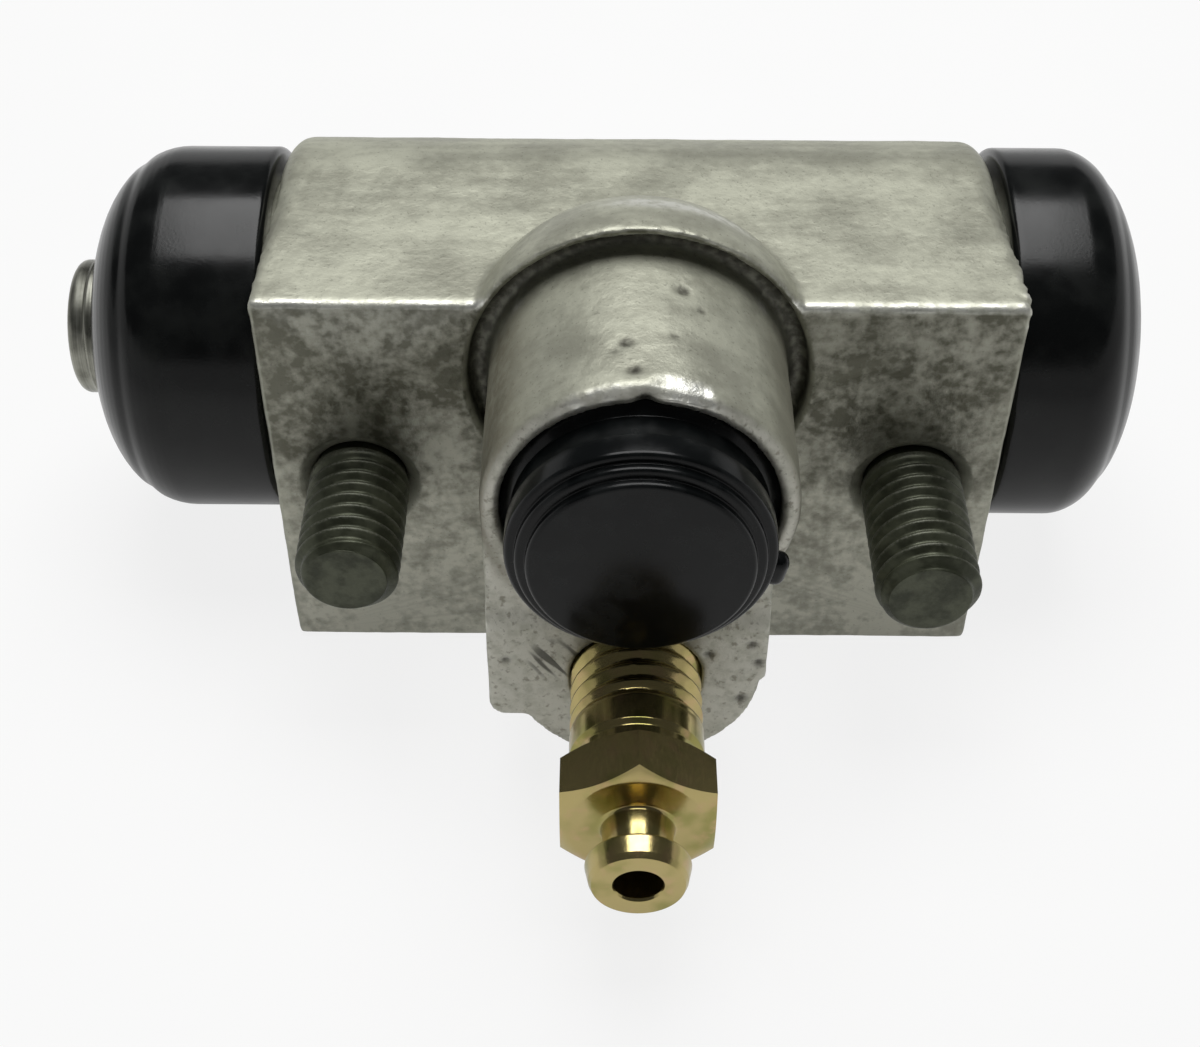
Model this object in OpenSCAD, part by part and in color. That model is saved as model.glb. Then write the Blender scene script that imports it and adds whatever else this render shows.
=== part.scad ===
// Hydraulic wheel cylinder for a drum brake: a die-cast body whose bore holds two facing
// pistons, with an inlet boss, a bleeder screw, two mounting studs and two dust boots.
// The origin is midway between the studs on the mounting face. X runs along the bore,
// the studs point along -Y and Z is up.

/* [Cast body] */
// Length of the body between its two ends
body_len = 57.6; // [52:0.2:70]
// Height of the mounting face
face_h = 35.8; // [34:0.2:42]
// Depth of the bore axis behind the mounting face
bore_depth = 17.9; // [17:0.1:24]
// Height of the bore axis above the stud line
bore_lift = 1.8; // [0.8:0.1:2.6]
// Bore diameter
bore_d = 19.05; // [17:0.05:20.5]
// Edge radius of the round back at each end
end_round = 1.8; // [0.6:0.1:3]
// Burnished chamfer along the long edges of the mounting face
face_chamfer = 0.35; // [0.2:0.05:1]

/* [Boot spigots] */
// Outer diameter of the spigot that carries each dust boot
spigot_d = 25.6; // [24.5:0.1:27]
// Length of each spigot
spigot_len = 5.4; // [4.8:0.1:7]
// Distance from the end of the body to the boot groove
groove_at = 1.8; // [1.4:0.1:2.2]
// Width of the boot groove
groove_w = 2.2; // [1.6:0.1:2.4]
// Depth of the boot groove
groove_depth = 0.9; // [0.5:0.1:1.2]

/* [Inlet boss] */
// Height of the boss axis above the stud line
boss_z = 11; // [10.6:0.1:12]
// Outer diameter of the boss
boss_d = 22.6; // [21.6:0.1:24]
// Projection of the boss from the mounting face
boss_len = 14.8; // [13.6:0.1:15.2]
// Diameter of the recess in the boss
recess_d = 19.8; // [18.8:0.1:20.4]
// Depth of the recess
recess_depth = 12.8; // [11:0.1:13.4]
// Diameter of the domed root that carries the boss
root_d = 27.4; // [26.8:0.1:29]
// Outer diameter of the relief groove around the boss
relief_d = 25.8; // [25:0.1:26.4]
// Depth of the relief groove
relief_depth = 1.6; // [0.8:0.1:2.5]
// Tapping diameter of the inlet thread
inlet_d = 9.2; // [8:0.1:10]
// Length of the inlet thread
inlet_len = 8; // [6:0.1:10]
// Diameter of the two drillings into the bore
drilling_d = 2.2; // [1.6:0.1:3]
// Chamfer on the mouth of the boss
boss_chamfer = 0.5; // [0.2:0.1:0.6]

/* [Bleeder tongue] */
// Drop of the bleeder axis below the stud line
bleeder_drop = 5.5; // [5.2:0.1:6.4]
// Projection of the tongue from the mounting face
tongue_len = 15.5; // [14.5:0.1:17]
// Radius of the tongue around the bleeder
tongue_r = 9.4; // [8.6:0.1:10]
// Distance from the bleeder axis to the left side of the tongue
tongue_left = 11.2; // [10.6:0.1:11.8]
// Distance from the bleeder axis to the right side of the tongue
tongue_right = 9.8; // [9:0.1:10.6]
// Drop of the ledge at the left below the bleeder axis
ledge_drop = 4.4; // [3:0.1:5.4]
// Corner radius of the ledge
ledge_round = 1.2; // [0.5:0.1:2]

/* [Studs] */
// Distance between the two studs
stud_pitch = 44; // [40:0.1:46]
// Thread diameter of the studs
stud_d = 8; // [7:0.1:9]
// Projection of the left stud from the mounting face
left_stud_len = 10.7; // [9:0.1:18]
// Projection of the right stud from the mounting face
right_stud_len = 12.3; // [9:0.1:18]
// Depth of each stud in the body
stud_seat = 6; // [5:0.1:6.6]
// Step from the thread of each stud down to its shank in the body
stud_step = 0.3; // [0.1:0.1:0.6]
// Chamfer on the tip of each stud
stud_chamfer = 0.8; // [0.4:0.1:1.2]
// Width of the countersink around each stud
countersink_w = 0.9; // [0.4:0.1:1.2]

/* [Pistons] */
// Length of each piston
piston_len = 14; // [11:0.1:15]
// Neutral place of each outer face, outside the end of the body
piston_out = 1; // [0:0.1:2]
// Distance that both pistons float to the left
piston_float = 3.1; // [2.8:0.1:4]
// Depth of the push rod socket
socket_depth = 5; // [3:0.1:7]

/* [Push rods] */
// Diameter of the push rod
rod_d = 12; // [10.4:0.1:13]
// Length of the push rod
rod_len = 19.5; // [19.2:0.1:19.8]
// Length of the head outside the boot
rod_head = 2.5; // [2.2:0.1:2.8]
// Diameter of the neck that the boot grips
rod_neck_d = 10; // [8.4:0.1:10.2]
// Width of the neck
rod_neck_w = 2; // [1.6:0.1:2.4]
// Edge radius of the head
rod_round = 0.8; // [0.3:0.1:1.2]

/* [Cup seals and spring] */
// Length of each cup seal
cup_len = 6.5; // [5.4:0.1:7.5]
// Thickness of the floor of each cup seal
cup_floor = 2.6; // [2:0.1:3.2]
// Thickness of the lip of each cup seal at its root
cup_lip = 2.4; // [1.8:0.1:2.6]
// Thickness of the lip at its edge
cup_edge = 1.2; // [0.8:0.1:1.6]
// Thickness of the cup expander
expander_t = 0.8; // [0.5:0.1:1]
// Wire diameter of the return spring
wire_d = 1.2; // [0.8:0.1:1.4]
// Outer diameter of the return spring
spring_d = 10.8; // [8:0.1:11.4]
// Number of active turns of the return spring
spring_turns = 6; // [4:1:8]

/* [Dust boots] */
// Wall thickness of the boots
boot_wall = 1.7; // [1.2:0.1:2]
// Gap between the body and the rim of each boot
boot_gap = 0.7; // [0.4:0.1:1]
// Outer diameter of the left boot
left_boot_d = 30.6; // [29.8:0.1:31.6]
// Length of the straight wall of the left boot, from the end of the body
left_boot_side = 8.7; // [8:0.1:9.4]
// Radius of the flat crown of the left boot
left_crown_r = 5.6; // [5.2:0.1:6.6]
// Outer diameter of the right boot
right_boot_d = 31.2; // [29.8:0.1:31.6]
// Length of the straight wall of the right boot beyond the spigot
right_boot_side = 1.2; // [0.9:0.1:1.5]
// Rise of the dome of the right boot above its straight wall
right_boot_rise = 6.4; // [6:0.1:6.8]

/* [Port plug] */
// Depth of the plug skirt in the boss
plug_skirt = 7.8; // [5:0.1:9]
// Diameter of the flange of the plug
plug_flange_d = 18.8; // [17.6:0.1:19.4]
// Thickness of the flange
plug_flange_t = 2.2; // [1.4:0.1:3]
// Gap between the mouth of the boss and the flange
plug_neck_len = 2; // [1.4:0.1:3]
// Diameter of the face of the plug
plug_face_d = 15.8; // [13:0.1:16.4]
// Height of the face above the flange
plug_face_h = 1.4; // [0.8:0.1:2]
// Wall thickness of the plug
plug_wall = 1.4; // [1:0.1:2]
// Width of the pull tab
tab_w = 2.6; // [1.6:0.1:3]
// Reach of the pull tab outside the flange
tab_reach = 1; // [0.6:0.1:1.8]

/* [Bleeder screw] */
// Thread diameter of the bleeder screw
bleeder_d = 10; // [9:0.1:10.2]
// Length of thread outside the tongue
bleeder_thread = 7.9; // [6:0.1:9]
// Length of the undercut under the hexagon
bleeder_undercut = 1.7; // [1:0.1:2.4]
// Width of the hexagon across its flats
hex_af = 11; // [10:0.1:11.4]
// Length of the hexagon
hex_len = 4.3; // [3.4:0.1:6]
// Diameter of the neck of the nipple
nipple_neck_d = 4.9; // [4.2:0.1:5.6]
// Length of the neck of the nipple
nipple_neck_len = 2.7; // [2:0.1:4]
// Diameter of the hose bead
bead_d = 7.5; // [6.6:0.1:8]
// Length of the hose bead
bead_len = 2.2; // [1.8:0.1:3]
// Diameter of the bleed drilling
bleed_d = 3.4; // [2.4:0.1:3.6]
// Diameter of the cross drilling near the seat
cross_d = 1.8; // [1:0.1:2.4]

/* [Clearances] */
// Radial clearance of the pistons and cup seals in the bore
bore_clear = 0.03; // [0.02:0.01:0.06]
// Radial clearance of the bleeder and the plug in their holes
hole_clear = 0.05; // [0.02:0.01:0.08]
// Clearance of rubber and spring pieces on their seats
seat_clear = 0.1; // [0.05:0.01:0.15]

/* [Hidden] */
$fn = 96;
LEFT = -1;
RIGHT = 1;
ALUMINIUM = [0.65, 0.65, 0.61];
PHOSPHATE = [0.24, 0.25, 0.21];
RUBBER = [0.07, 0.08, 0.08];
PLASTIC = [0.10, 0.11, 0.11];
YELLOW_ZINC = [0.72, 0.64, 0.36];
STEEL = [0.62, 0.62, 0.57];
ANODISED = [0.55, 0.54, 0.48];
overcut = 1;
far = 100;
face_top = face_h / 2;
housing_r = face_top - bore_lift;
bore_r = bore_d / 2;
// Place where the sloping underside meets the round back
belly_angle = -90 + acos(housing_r / (face_top + bore_lift));
spigot_r = spigot_d / 2;
groove_r = spigot_r - groove_depth;
bore_mouth_chamfer = 0.4;
relief_chamfer = 0.3;
// Floor of the recess, measured forward from the mounting face
recess_floor = boss_len - recess_depth;
// Bottom of the bleeder hole, behind the mounting face
bleeder_hole_depth = 1;
seat_cone_angle = 30;
tube_seat_angle = 45;
stud_r = stud_d / 2;
shank_r = stud_r - stud_step;
// Inner faces of the pistons are measured outwards from the ends of the body
function outer_face(side) = piston_out - side * piston_float;
function inner_face(side) = outer_face(side) - piston_len;
function rod_tip(side) = outer_face(side) - socket_depth + rod_len;
function neck_end(side) = rod_tip(side) - rod_head;
function cup_bottom(side) = inner_face(side) - cup_floor;
function spring_seat(side) = cup_bottom(side) - expander_t;
socket_clear = 0.05;
piston_r = bore_r - bore_clear;
rod_r = rod_d / 2;
neck_r = rod_neck_d / 2;
relief_flat = 0.8;
cup_root_r = piston_r - cup_lip;
cup_edge_r = piston_r - cup_edge;
expander_hole_r = 2.5;
wire_sides = 8;
ring_step = 22.5;
end_turns = 1;
arc_step = 10;
rim_round = 0.6;
// Room around the rod inside the crown of the left boot
crown_room = 0.2;
// Dome of the right boot, and the fold where it dips to the neck of the rod
right_dome_r = 3.5;
right_fold_r = 9;
crown_pad = 1.6;
fold_spread = 1.2;
pad_spread = 0.9;
plug_r = recess_d / 2 - hole_clear;
plug_shoulder = 0.8;
plug_neck_step = 0.8;
plug_neck_r = plug_r - plug_neck_step;
flange_round = 0.5;
plug_step_h = plug_face_h / 2;
plug_step_r = (plug_flange_d + plug_face_d) / 4;
face_round = 0.4;
tab_angle = -12;
tab_root = 1;
bleeder_r = bleeder_d / 2 - hole_clear;
undercut_depth = 0.3;
undercut_r = bleeder_r - undercut_depth;
// Stations of the bleeder screw, forward from the mounting face
hex_from = tongue_len + bleeder_thread + bleeder_undercut;
hex_to = hex_from + hex_len;
bead_from = hex_to + nipple_neck_len;
nipple_end = bead_from + bead_len;
hex_sides = 6;
hex_corner_r = hex_af / 2 / cos(180 / hex_sides);
hex_chamfer_angle = 30;
bead_round = 0.5;
bleed_stop = 2;

// Extrudes a profile drawn in Y and Z along the bore
module along_bore(length) {
    translate([-length / 2, 0, 0]) rotate([90, 0, 90]) linear_extrude(length) children();
}

// Turns a piece so that its Z axis points out of the mounting face
module forward(height) {
    translate([0, 0, height]) rotate([90, 0, 0]) children();
}

// Turns a piece so that its Z axis points out of one end of the body, along the bore
module at_end(side) {
    translate([side * body_len / 2, bore_depth, bore_lift]) rotate([0, side * 90, 0]) children();
}

// Removes all that lies outside a plane
module beyond_plane(point, normal) {
    tilt = acos(normal.z / norm(normal));
    translate(point) rotate([0, tilt, atan2(normal.y, normal.x)])
        translate([-far, -far, 0]) cube([2 * far, 2 * far, far]);
}

// Solid bar with a round edge at both ends, standing on Z
module rounded_bar(radius, length, edge) {
    rotate_extrude() {
        square([radius - edge, length]);
        translate([0, edge]) square([radius, length - 2 * edge]);
        for (end = [edge, length - edge])
            translate([radius - edge, end]) circle(edge);
    }
}

module body_section() {
    polygon([[face_chamfer, face_top], [bore_depth, face_top],
        [bore_depth + housing_r * cos(belly_angle), bore_lift + housing_r * sin(belly_angle)],
        [bore_depth, -face_top], [face_chamfer, -face_top],
        [0, -face_top + face_chamfer], [0, face_top - face_chamfer]]);
}

// Block behind the mounting face, with its upper end edges falling away to the round back
module block() {
    difference() {
        along_bore(body_len) body_section();
        for (side = [LEFT, RIGHT])
            beyond_plane([side * body_len / 2, 0, face_top], [side * bore_depth, end_round, bore_depth]);
    }
}

module round_back() {
    translate([-body_len / 2, bore_depth, bore_lift]) rotate([0, 90, 0])
        rounded_bar(housing_r, body_len, end_round);
}

// Domed root of the boss, which stands above the top of the block
module boss_root() {
    intersection() {
        translate([0, 0, boss_z]) sphere(root_d / 2);
        translate([-far, 0, -far]) cube([2 * far, far, 2 * far]);
    }
}

// Relief groove in the mounting face around the boss
module relief_groove() {
    forward(boss_z) rotate_extrude() polygon([[boss_d / 2 - overcut, -relief_depth],
        [relief_d / 2, -relief_depth], [relief_d / 2, -relief_chamfer],
        [relief_d / 2 + relief_chamfer, 0], [relief_d / 2 + relief_chamfer, overcut],
        [boss_d / 2 - overcut, overcut]]);
}

module tongue_outline() {
    translate([-tongue_left, -bleeder_drop])
        square([tongue_left + tongue_right, boss_z + bleeder_drop]);
    translate([0, -bleeder_drop]) circle(tongue_r);
    translate([-tongue_left, -bleeder_drop - ledge_drop + ledge_round])
        square([tongue_left, ledge_drop]);
    translate([-tongue_left + ledge_round, -bleeder_drop - ledge_drop])
        square([tongue_left - ledge_round, ledge_drop]);
    translate([-tongue_left + ledge_round, -bleeder_drop - ledge_drop + ledge_round])
        circle(ledge_round);
}

module boss_and_tongue() {
    forward(boss_z) rotate_extrude() polygon([[0, -relief_depth], [boss_d / 2, -relief_depth],
        [boss_d / 2, boss_len - boss_chamfer], [boss_d / 2 - boss_chamfer, boss_len], [0, boss_len]]);
    intersection() {
        forward(0) translate([0, 0, -relief_depth])
            linear_extrude(tongue_len + relief_depth) tongue_outline();
        union() {
            translate([-far, -boss_len, -far]) cube([2 * far, far, 2 * far]);
            translate([-far, -far, -far]) cube([2 * far, 2 * far, far + boss_z - recess_d / 2 + overcut]);
        }
    }
}

module spigot(side) {
    at_end(side) rotate_extrude() polygon([[0, -overcut], [spigot_r, -overcut],
        [spigot_r, groove_at], [groove_r, groove_at], [groove_r, groove_at + groove_w],
        [spigot_r, groove_at + groove_w], [spigot_r, spigot_len - bore_mouth_chamfer],
        [spigot_r - bore_mouth_chamfer, spigot_len], [0, spigot_len]]);
}

module inlet_cut() {
    seat_h = (inlet_d - drilling_d) / 2 * tan(tube_seat_angle);
    forward(boss_z) {
        translate([0, 0, recess_floor]) cylinder(r = recess_d / 2, h = far);
        translate([0, 0, recess_floor - inlet_len]) cylinder(d = inlet_d, h = inlet_len + overcut);
        translate([0, 0, recess_floor - inlet_len - seat_h])
            cylinder(d1 = drilling_d, d2 = inlet_d, h = seat_h);
        translate([0, 0, -bore_depth]) cylinder(d = drilling_d, h = bore_depth);
    }
}

module bleeder_cut() {
    seat_h = (bleeder_d - drilling_d) / 2 / tan(seat_cone_angle);
    forward(-bleeder_drop) {
        translate([0, 0, -bleeder_hole_depth]) cylinder(d = bleeder_d, h = far);
        translate([0, 0, -bleeder_hole_depth - seat_h])
            cylinder(d1 = drilling_d, d2 = bleeder_d, h = seat_h);
        translate([0, 0, -bore_depth]) cylinder(d = drilling_d, h = bore_depth);
    }
}

module stud_cut(side) {
    translate([side * stud_pitch / 2, 0, 0]) forward(0) {
        translate([0, 0, -stud_seat]) cylinder(r = shank_r + socket_clear, h = stud_seat + overcut);
        translate([0, 0, -countersink_w])
            cylinder(r1 = shank_r, r2 = stud_r + countersink_w, h = countersink_w);
    }
}

module bore_cut() {
    mouth = body_len / 2 + spigot_len;
    translate([-mouth - overcut, bore_depth, bore_lift]) rotate([0, 90, 0])
        cylinder(r = bore_r, h = 2 * (mouth + overcut));
    for (side = [LEFT, RIGHT])
        at_end(side) translate([0, 0, spigot_len - bore_mouth_chamfer])
            cylinder(r1 = bore_r, r2 = bore_r + bore_mouth_chamfer, h = bore_mouth_chamfer);
}

module housing() {
    color(ALUMINIUM) difference() {
        union() {
            difference() {
                union() {
                    block();
                    round_back();
                    boss_root();
                }
                relief_groove();
            }
            boss_and_tongue();
            spigot(LEFT);
            spigot(RIGHT);
        }
        inlet_cut();
        bleeder_cut();
        stud_cut(LEFT);
        stud_cut(RIGHT);
        bore_cut();
    }
}

module stud(side) {
    stud_len = side == LEFT ? left_stud_len : right_stud_len;
    color(PHOSPHATE) translate([side * stud_pitch / 2, 0, 0]) forward(0) {
        translate([0, 0, -stud_seat]) cylinder(r = shank_r, h = stud_seat);
        cylinder(r = stud_r, h = stud_len - stud_chamfer);
        translate([0, 0, stud_len - stud_chamfer])
            cylinder(r1 = stud_r, r2 = stud_r - stud_chamfer, h = stud_chamfer);
    }
}

module piston(side) {
    top = outer_face(side);
    color(ANODISED) at_end(side) rotate_extrude() polygon([[0, top - piston_len],
        [piston_r - relief_flat, top - piston_len], [piston_r, top - piston_len + relief_flat],
        [piston_r, top - relief_flat], [piston_r - relief_flat, top],
        [rod_r + socket_clear, top], [rod_r + socket_clear, top - socket_depth], [0, top - socket_depth]]);
}

module push_rod(side) {
    tip = rod_tip(side);
    neck = neck_end(side);
    color(STEEL) at_end(side) {
        translate([0, 0, outer_face(side) - socket_depth])
            cylinder(r = rod_r, h = rod_len - rod_head - rod_neck_w);
        translate([0, 0, neck - rod_neck_w]) cylinder(r = neck_r, h = rod_neck_w);
        rotate_extrude() {
            translate([0, neck]) square([rod_r, rod_head - rod_round]);
            translate([0, neck]) square([rod_r - rod_round, rod_head]);
            translate([rod_r - rod_round, tip - rod_round]) circle(rod_round);
        }
    }
}

module cup_seal(side) {
    back = inner_face(side);
    color(RUBBER) at_end(side) rotate_extrude() polygon([[0, back], [piston_r - relief_flat, back],
        [piston_r, back - relief_flat], [piston_r, back - cup_len], [cup_edge_r, back - cup_len],
        [cup_root_r, cup_bottom(side)], [0, cup_bottom(side)]]);
}

// Spring seat that spreads the lip of its cup seal
module cup_expander(side) {
    floor_at = cup_bottom(side);
    lip_len = cup_len - cup_floor;
    spread = (cup_edge_r - cup_root_r) / lip_len;
    rim = lip_len / 2;
    outer_r = cup_root_r - seat_clear;
    color(STEEL) at_end(side) rotate_extrude() polygon([[expander_hole_r, floor_at],
        [outer_r, floor_at], [outer_r + rim * spread, floor_at - rim],
        [outer_r + rim * spread - expander_t, floor_at - rim],
        [outer_r + expander_t * spread - expander_t, floor_at - expander_t],
        [expander_hole_r, floor_at - expander_t]]);
}

// Fraction of the free length that the helix has climbed after a number of turns
function spring_climb(turn, all_turns, dead, pitch) =
    turn < end_turns ? turn * dead
    : turn > all_turns - end_turns
    ? end_turns * dead + (all_turns - 2 * end_turns) * pitch + (turn - all_turns + end_turns) * dead
    : end_turns * dead + (turn - end_turns) * pitch;

module return_spring() {
    wire_r = wire_d / 2;
    mean_r = spring_d / 2 - wire_r;
    from_x = -(body_len / 2 + spring_seat(LEFT)) + wire_r + seat_clear;
    to_x = body_len / 2 + spring_seat(RIGHT) - wire_r - seat_clear;
    all_turns = spring_turns + 2 * end_turns;
    dead = wire_d + seat_clear;
    pitch = (to_x - from_x - 2 * end_turns * dead) / spring_turns;
    rings = all_turns * 360 / ring_step;
    points = [for (ring = [0:rings], side = [0:wire_sides - 1])
        let (turn = ring * ring_step / 360,
            angle = 360 * turn,
            around = 360 * side / wire_sides,
            reach = mean_r + wire_r * cos(around))
        [from_x + spring_climb(turn, all_turns, dead, pitch) + wire_r * sin(around),
            bore_depth + reach * cos(angle), bore_lift + reach * sin(angle)]];
    walls = [for (ring = [0:rings - 1], side = [0:wire_sides - 1])
        let (next = (side + 1) % wire_sides, here = ring * wire_sides)
        [here + side, here + next, here + wire_sides + next, here + wire_sides + side]];
    first_cap = [for (side = [wire_sides - 1:-1:0]) side];
    last_cap = [for (side = [0:wire_sides - 1]) rings * wire_sides + side];
    color(STEEL) polyhedron(points, concat(walls, [first_cap, last_cap]));
}

// Rim of a boot: the bead that grips the spigot groove, drawn from the outside in
function boot_rim(radius) = [[radius, boot_gap + rim_round], [radius - rim_round, boot_gap],
    [spigot_r + seat_clear, boot_gap], [spigot_r + seat_clear, groove_at + seat_clear],
    [groove_r + seat_clear, groove_at + seat_clear],
    [groove_r + seat_clear, groove_at + groove_w - seat_clear],
    [spigot_r + seat_clear, groove_at + groove_w - seat_clear],
    [spigot_r + seat_clear, spigot_len + seat_clear]];

// Quarter of an ellipse about a centre, between two angles
function sweep(centre, half_r, half_h, angles) =
    [for (angle = angles) centre + [half_r * cos(angle), half_h * sin(angle)]];

// Left boot: a tall dome, drawn outwards by its piston
module left_boot() {
    radius = left_boot_d / 2;
    crown = neck_end(LEFT) - seat_clear;
    grip = neck_end(LEFT) - rod_neck_w + seat_clear;
    room_r = rod_r + crown_room;
    color(RUBBER) at_end(LEFT) rotate_extrude() polygon(concat(boot_rim(radius),
        [[radius - boot_wall, spigot_len + seat_clear + boot_wall / 2]],
        sweep([room_r, left_boot_side], radius - boot_wall - room_r, grip - left_boot_side, [0:arc_step:90]),
        [[neck_r + socket_clear, grip], [neck_r + socket_clear, crown]],
        sweep([left_crown_r, left_boot_side], radius - left_crown_r, crown - left_boot_side,
            [90:-arc_step:0])));
}

// Quarter of an ellipse from its side up to a given radius, in steps of equal angle
function dome_to(fold_r, centre, half_r, half_h) =
    let (last = acos((fold_r - centre.x) / half_r), steps = ceil(last / arc_step))
    [for (step = [0:steps]) centre + [half_r * cos(last * step / steps), half_h * sin(last * step / steps)]];

function reversed(points) = [for (i = [len(points) - 1:-1:0]) points[i]];

// Right boot: a shallow dome that dips around the rod, drawn inwards by its piston
module right_boot() {
    radius = right_boot_d / 2;
    crown = neck_end(RIGHT) - seat_clear;
    grip = neck_end(RIGHT) - rod_neck_w + seat_clear;
    centre = [right_dome_r, spigot_len + right_boot_side];
    half_r = radius - right_dome_r;
    pad_r = rod_r + crown_pad;
    color(RUBBER) at_end(RIGHT) rotate_extrude() polygon(concat(boot_rim(radius),
        dome_to(right_fold_r + fold_spread, centre, half_r - boot_wall, right_boot_rise - boot_wall),
        [[pad_r + pad_spread, grip], [neck_r + socket_clear, grip], [neck_r + socket_clear, crown],
            [pad_r, crown]],
        reversed(dome_to(right_fold_r, centre, half_r, right_boot_rise))));
}

// Transit plug, a moulded cup whose stepped head stands out of the boss
module port_plug() {
    skirt_from = boss_len - plug_skirt;
    flange_from = boss_len + plug_neck_len;
    flange_to = flange_from + plug_flange_t;
    flange_r = plug_flange_d / 2;
    face_r = plug_face_d / 2;
    face_at = flange_to + plug_face_h;
    color(PLASTIC) forward(boss_z) {
        rotate_extrude() polygon([[plug_neck_r - plug_wall, skirt_from],
            [plug_r - plug_shoulder / 2, skirt_from], [plug_r, skirt_from + plug_shoulder],
            [plug_r, boss_len - plug_shoulder], [plug_neck_r, boss_len],
            [plug_neck_r, flange_from], [flange_r - flange_round, flange_from],
            [flange_r, flange_from + flange_round], [flange_r, flange_to - flange_round],
            [flange_r - flange_round, flange_to], [plug_step_r, flange_to],
            [plug_step_r, flange_to + plug_step_h], [face_r, flange_to + plug_step_h],
            [face_r, face_at - face_round], [face_r - face_round, face_at], [0, face_at],
            [0, face_at - plug_wall - plug_face_h], [plug_neck_r - plug_wall, flange_from]]);
        rotate([0, 0, tab_angle])
            translate([flange_r - tab_root, -tab_w / 2, flange_from + flange_round / 2])
            cube([tab_root + tab_reach, tab_w, plug_flange_t - flange_round]);
    }
}

// Bleeder screw with its seat cone, hexagon, hose bead and drilling
module bleeder_screw() {
    cone_r = drilling_d / 2 + hole_clear;
    cone_h = (bleeder_r - cone_r) / tan(seat_cone_angle);
    chamfer_h = (hex_corner_r - hex_af / 2) * tan(hex_chamfer_angle);
    bead_r = bead_d / 2;
    color(YELLOW_ZINC) forward(-bleeder_drop) difference() {
        union() {
            translate([0, 0, -bleeder_hole_depth - cone_h])
                cylinder(r1 = cone_r, r2 = bleeder_r, h = cone_h);
            translate([0, 0, -bleeder_hole_depth])
                cylinder(r = bleeder_r, h = tongue_len + bleeder_thread + bleeder_hole_depth);
            translate([0, 0, hex_from - bleeder_undercut])
                cylinder(r = undercut_r, h = bleeder_undercut);
            intersection() {
                rotate([0, 0, 180 / hex_sides]) translate([0, 0, hex_from])
                    cylinder(r = hex_corner_r, h = hex_len, $fn = hex_sides);
                rotate_extrude() polygon([[0, hex_from], [hex_af / 2, hex_from],
                    [hex_corner_r, hex_from + chamfer_h], [hex_corner_r, hex_to - chamfer_h],
                    [hex_af / 2, hex_to], [0, hex_to]]);
            }
            rotate_extrude() polygon([[0, hex_to - overcut], [nipple_neck_d / 2, hex_to - overcut],
                [nipple_neck_d / 2, bead_from], [bead_r, bead_from + bead_round],
                [bead_r, nipple_end - 2 * bead_round], [bead_r - bead_round, nipple_end], [0, nipple_end]]);
        }
        translate([0, 0, bleed_stop]) cylinder(d = bleed_d, h = far);
        translate([-far / 2, 0, bleed_stop + cross_d / 2]) rotate([0, 90, 0]) cylinder(d = cross_d, h = far);
    }
}

housing();
stud(LEFT);  // left_stud
stud(RIGHT);  // right_stud
bleeder_screw();
port_plug();
piston(LEFT);  // left_piston
piston(RIGHT);  // right_piston
push_rod(LEFT);  // left_push_rod
push_rod(RIGHT);  // right_push_rod
cup_seal(LEFT);  // left_cup_seal
cup_seal(RIGHT);  // right_cup_seal
cup_expander(LEFT);  // left_cup_expander
cup_expander(RIGHT);  // right_cup_expander
return_spring();
left_boot();
right_boot();
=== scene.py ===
"""Wheel cylinder of a drum brake: its looks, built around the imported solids."""

import logging
import math
from dataclasses import dataclass
from enum import Enum
from typing import ClassVar, Optional, Sequence, Union

import bmesh
import bpy
import numpy as np
from mathutils import Euler, Matrix, Vector, noise


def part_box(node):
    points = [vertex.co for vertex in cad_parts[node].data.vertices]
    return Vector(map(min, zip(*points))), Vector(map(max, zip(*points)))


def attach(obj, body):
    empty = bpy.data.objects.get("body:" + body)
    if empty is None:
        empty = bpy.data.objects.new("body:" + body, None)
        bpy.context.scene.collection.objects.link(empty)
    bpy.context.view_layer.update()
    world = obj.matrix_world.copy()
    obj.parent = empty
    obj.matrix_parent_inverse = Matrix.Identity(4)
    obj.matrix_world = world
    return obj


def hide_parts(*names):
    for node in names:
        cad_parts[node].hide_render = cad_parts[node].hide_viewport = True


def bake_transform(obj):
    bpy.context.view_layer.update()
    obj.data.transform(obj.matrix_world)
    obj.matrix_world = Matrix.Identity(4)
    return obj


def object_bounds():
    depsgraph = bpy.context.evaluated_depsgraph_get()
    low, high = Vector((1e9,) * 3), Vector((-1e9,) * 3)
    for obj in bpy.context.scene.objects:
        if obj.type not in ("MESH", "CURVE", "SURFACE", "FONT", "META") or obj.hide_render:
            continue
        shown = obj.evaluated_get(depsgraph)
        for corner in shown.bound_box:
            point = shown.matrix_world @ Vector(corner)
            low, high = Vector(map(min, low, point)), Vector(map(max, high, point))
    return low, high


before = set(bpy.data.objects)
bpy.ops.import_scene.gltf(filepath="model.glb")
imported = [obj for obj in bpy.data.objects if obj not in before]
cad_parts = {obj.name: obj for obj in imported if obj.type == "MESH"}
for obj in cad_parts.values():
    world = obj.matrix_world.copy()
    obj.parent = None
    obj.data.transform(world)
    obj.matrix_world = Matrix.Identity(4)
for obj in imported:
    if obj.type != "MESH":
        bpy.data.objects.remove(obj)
CAD_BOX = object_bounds()
LOG = logging.getLogger("wheel_cylinder")
MM = 0.001
FULL_TURN = 2 * math.pi
TURNED_EDGE = math.radians(40)
MOULDED_EDGE = math.radians(38)

# Sizes in mm that several pieces share
BODY_HALF = 28.8
BORE_DEPTH = 17.9
BORE_LIFT = 1.8
BOSS_Z = 11.0
BOSS_LEN = 14.8
TONGUE_LEN = 15.5
BLEEDER_DROP = 5.5
STUD_X = 22.0

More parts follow.
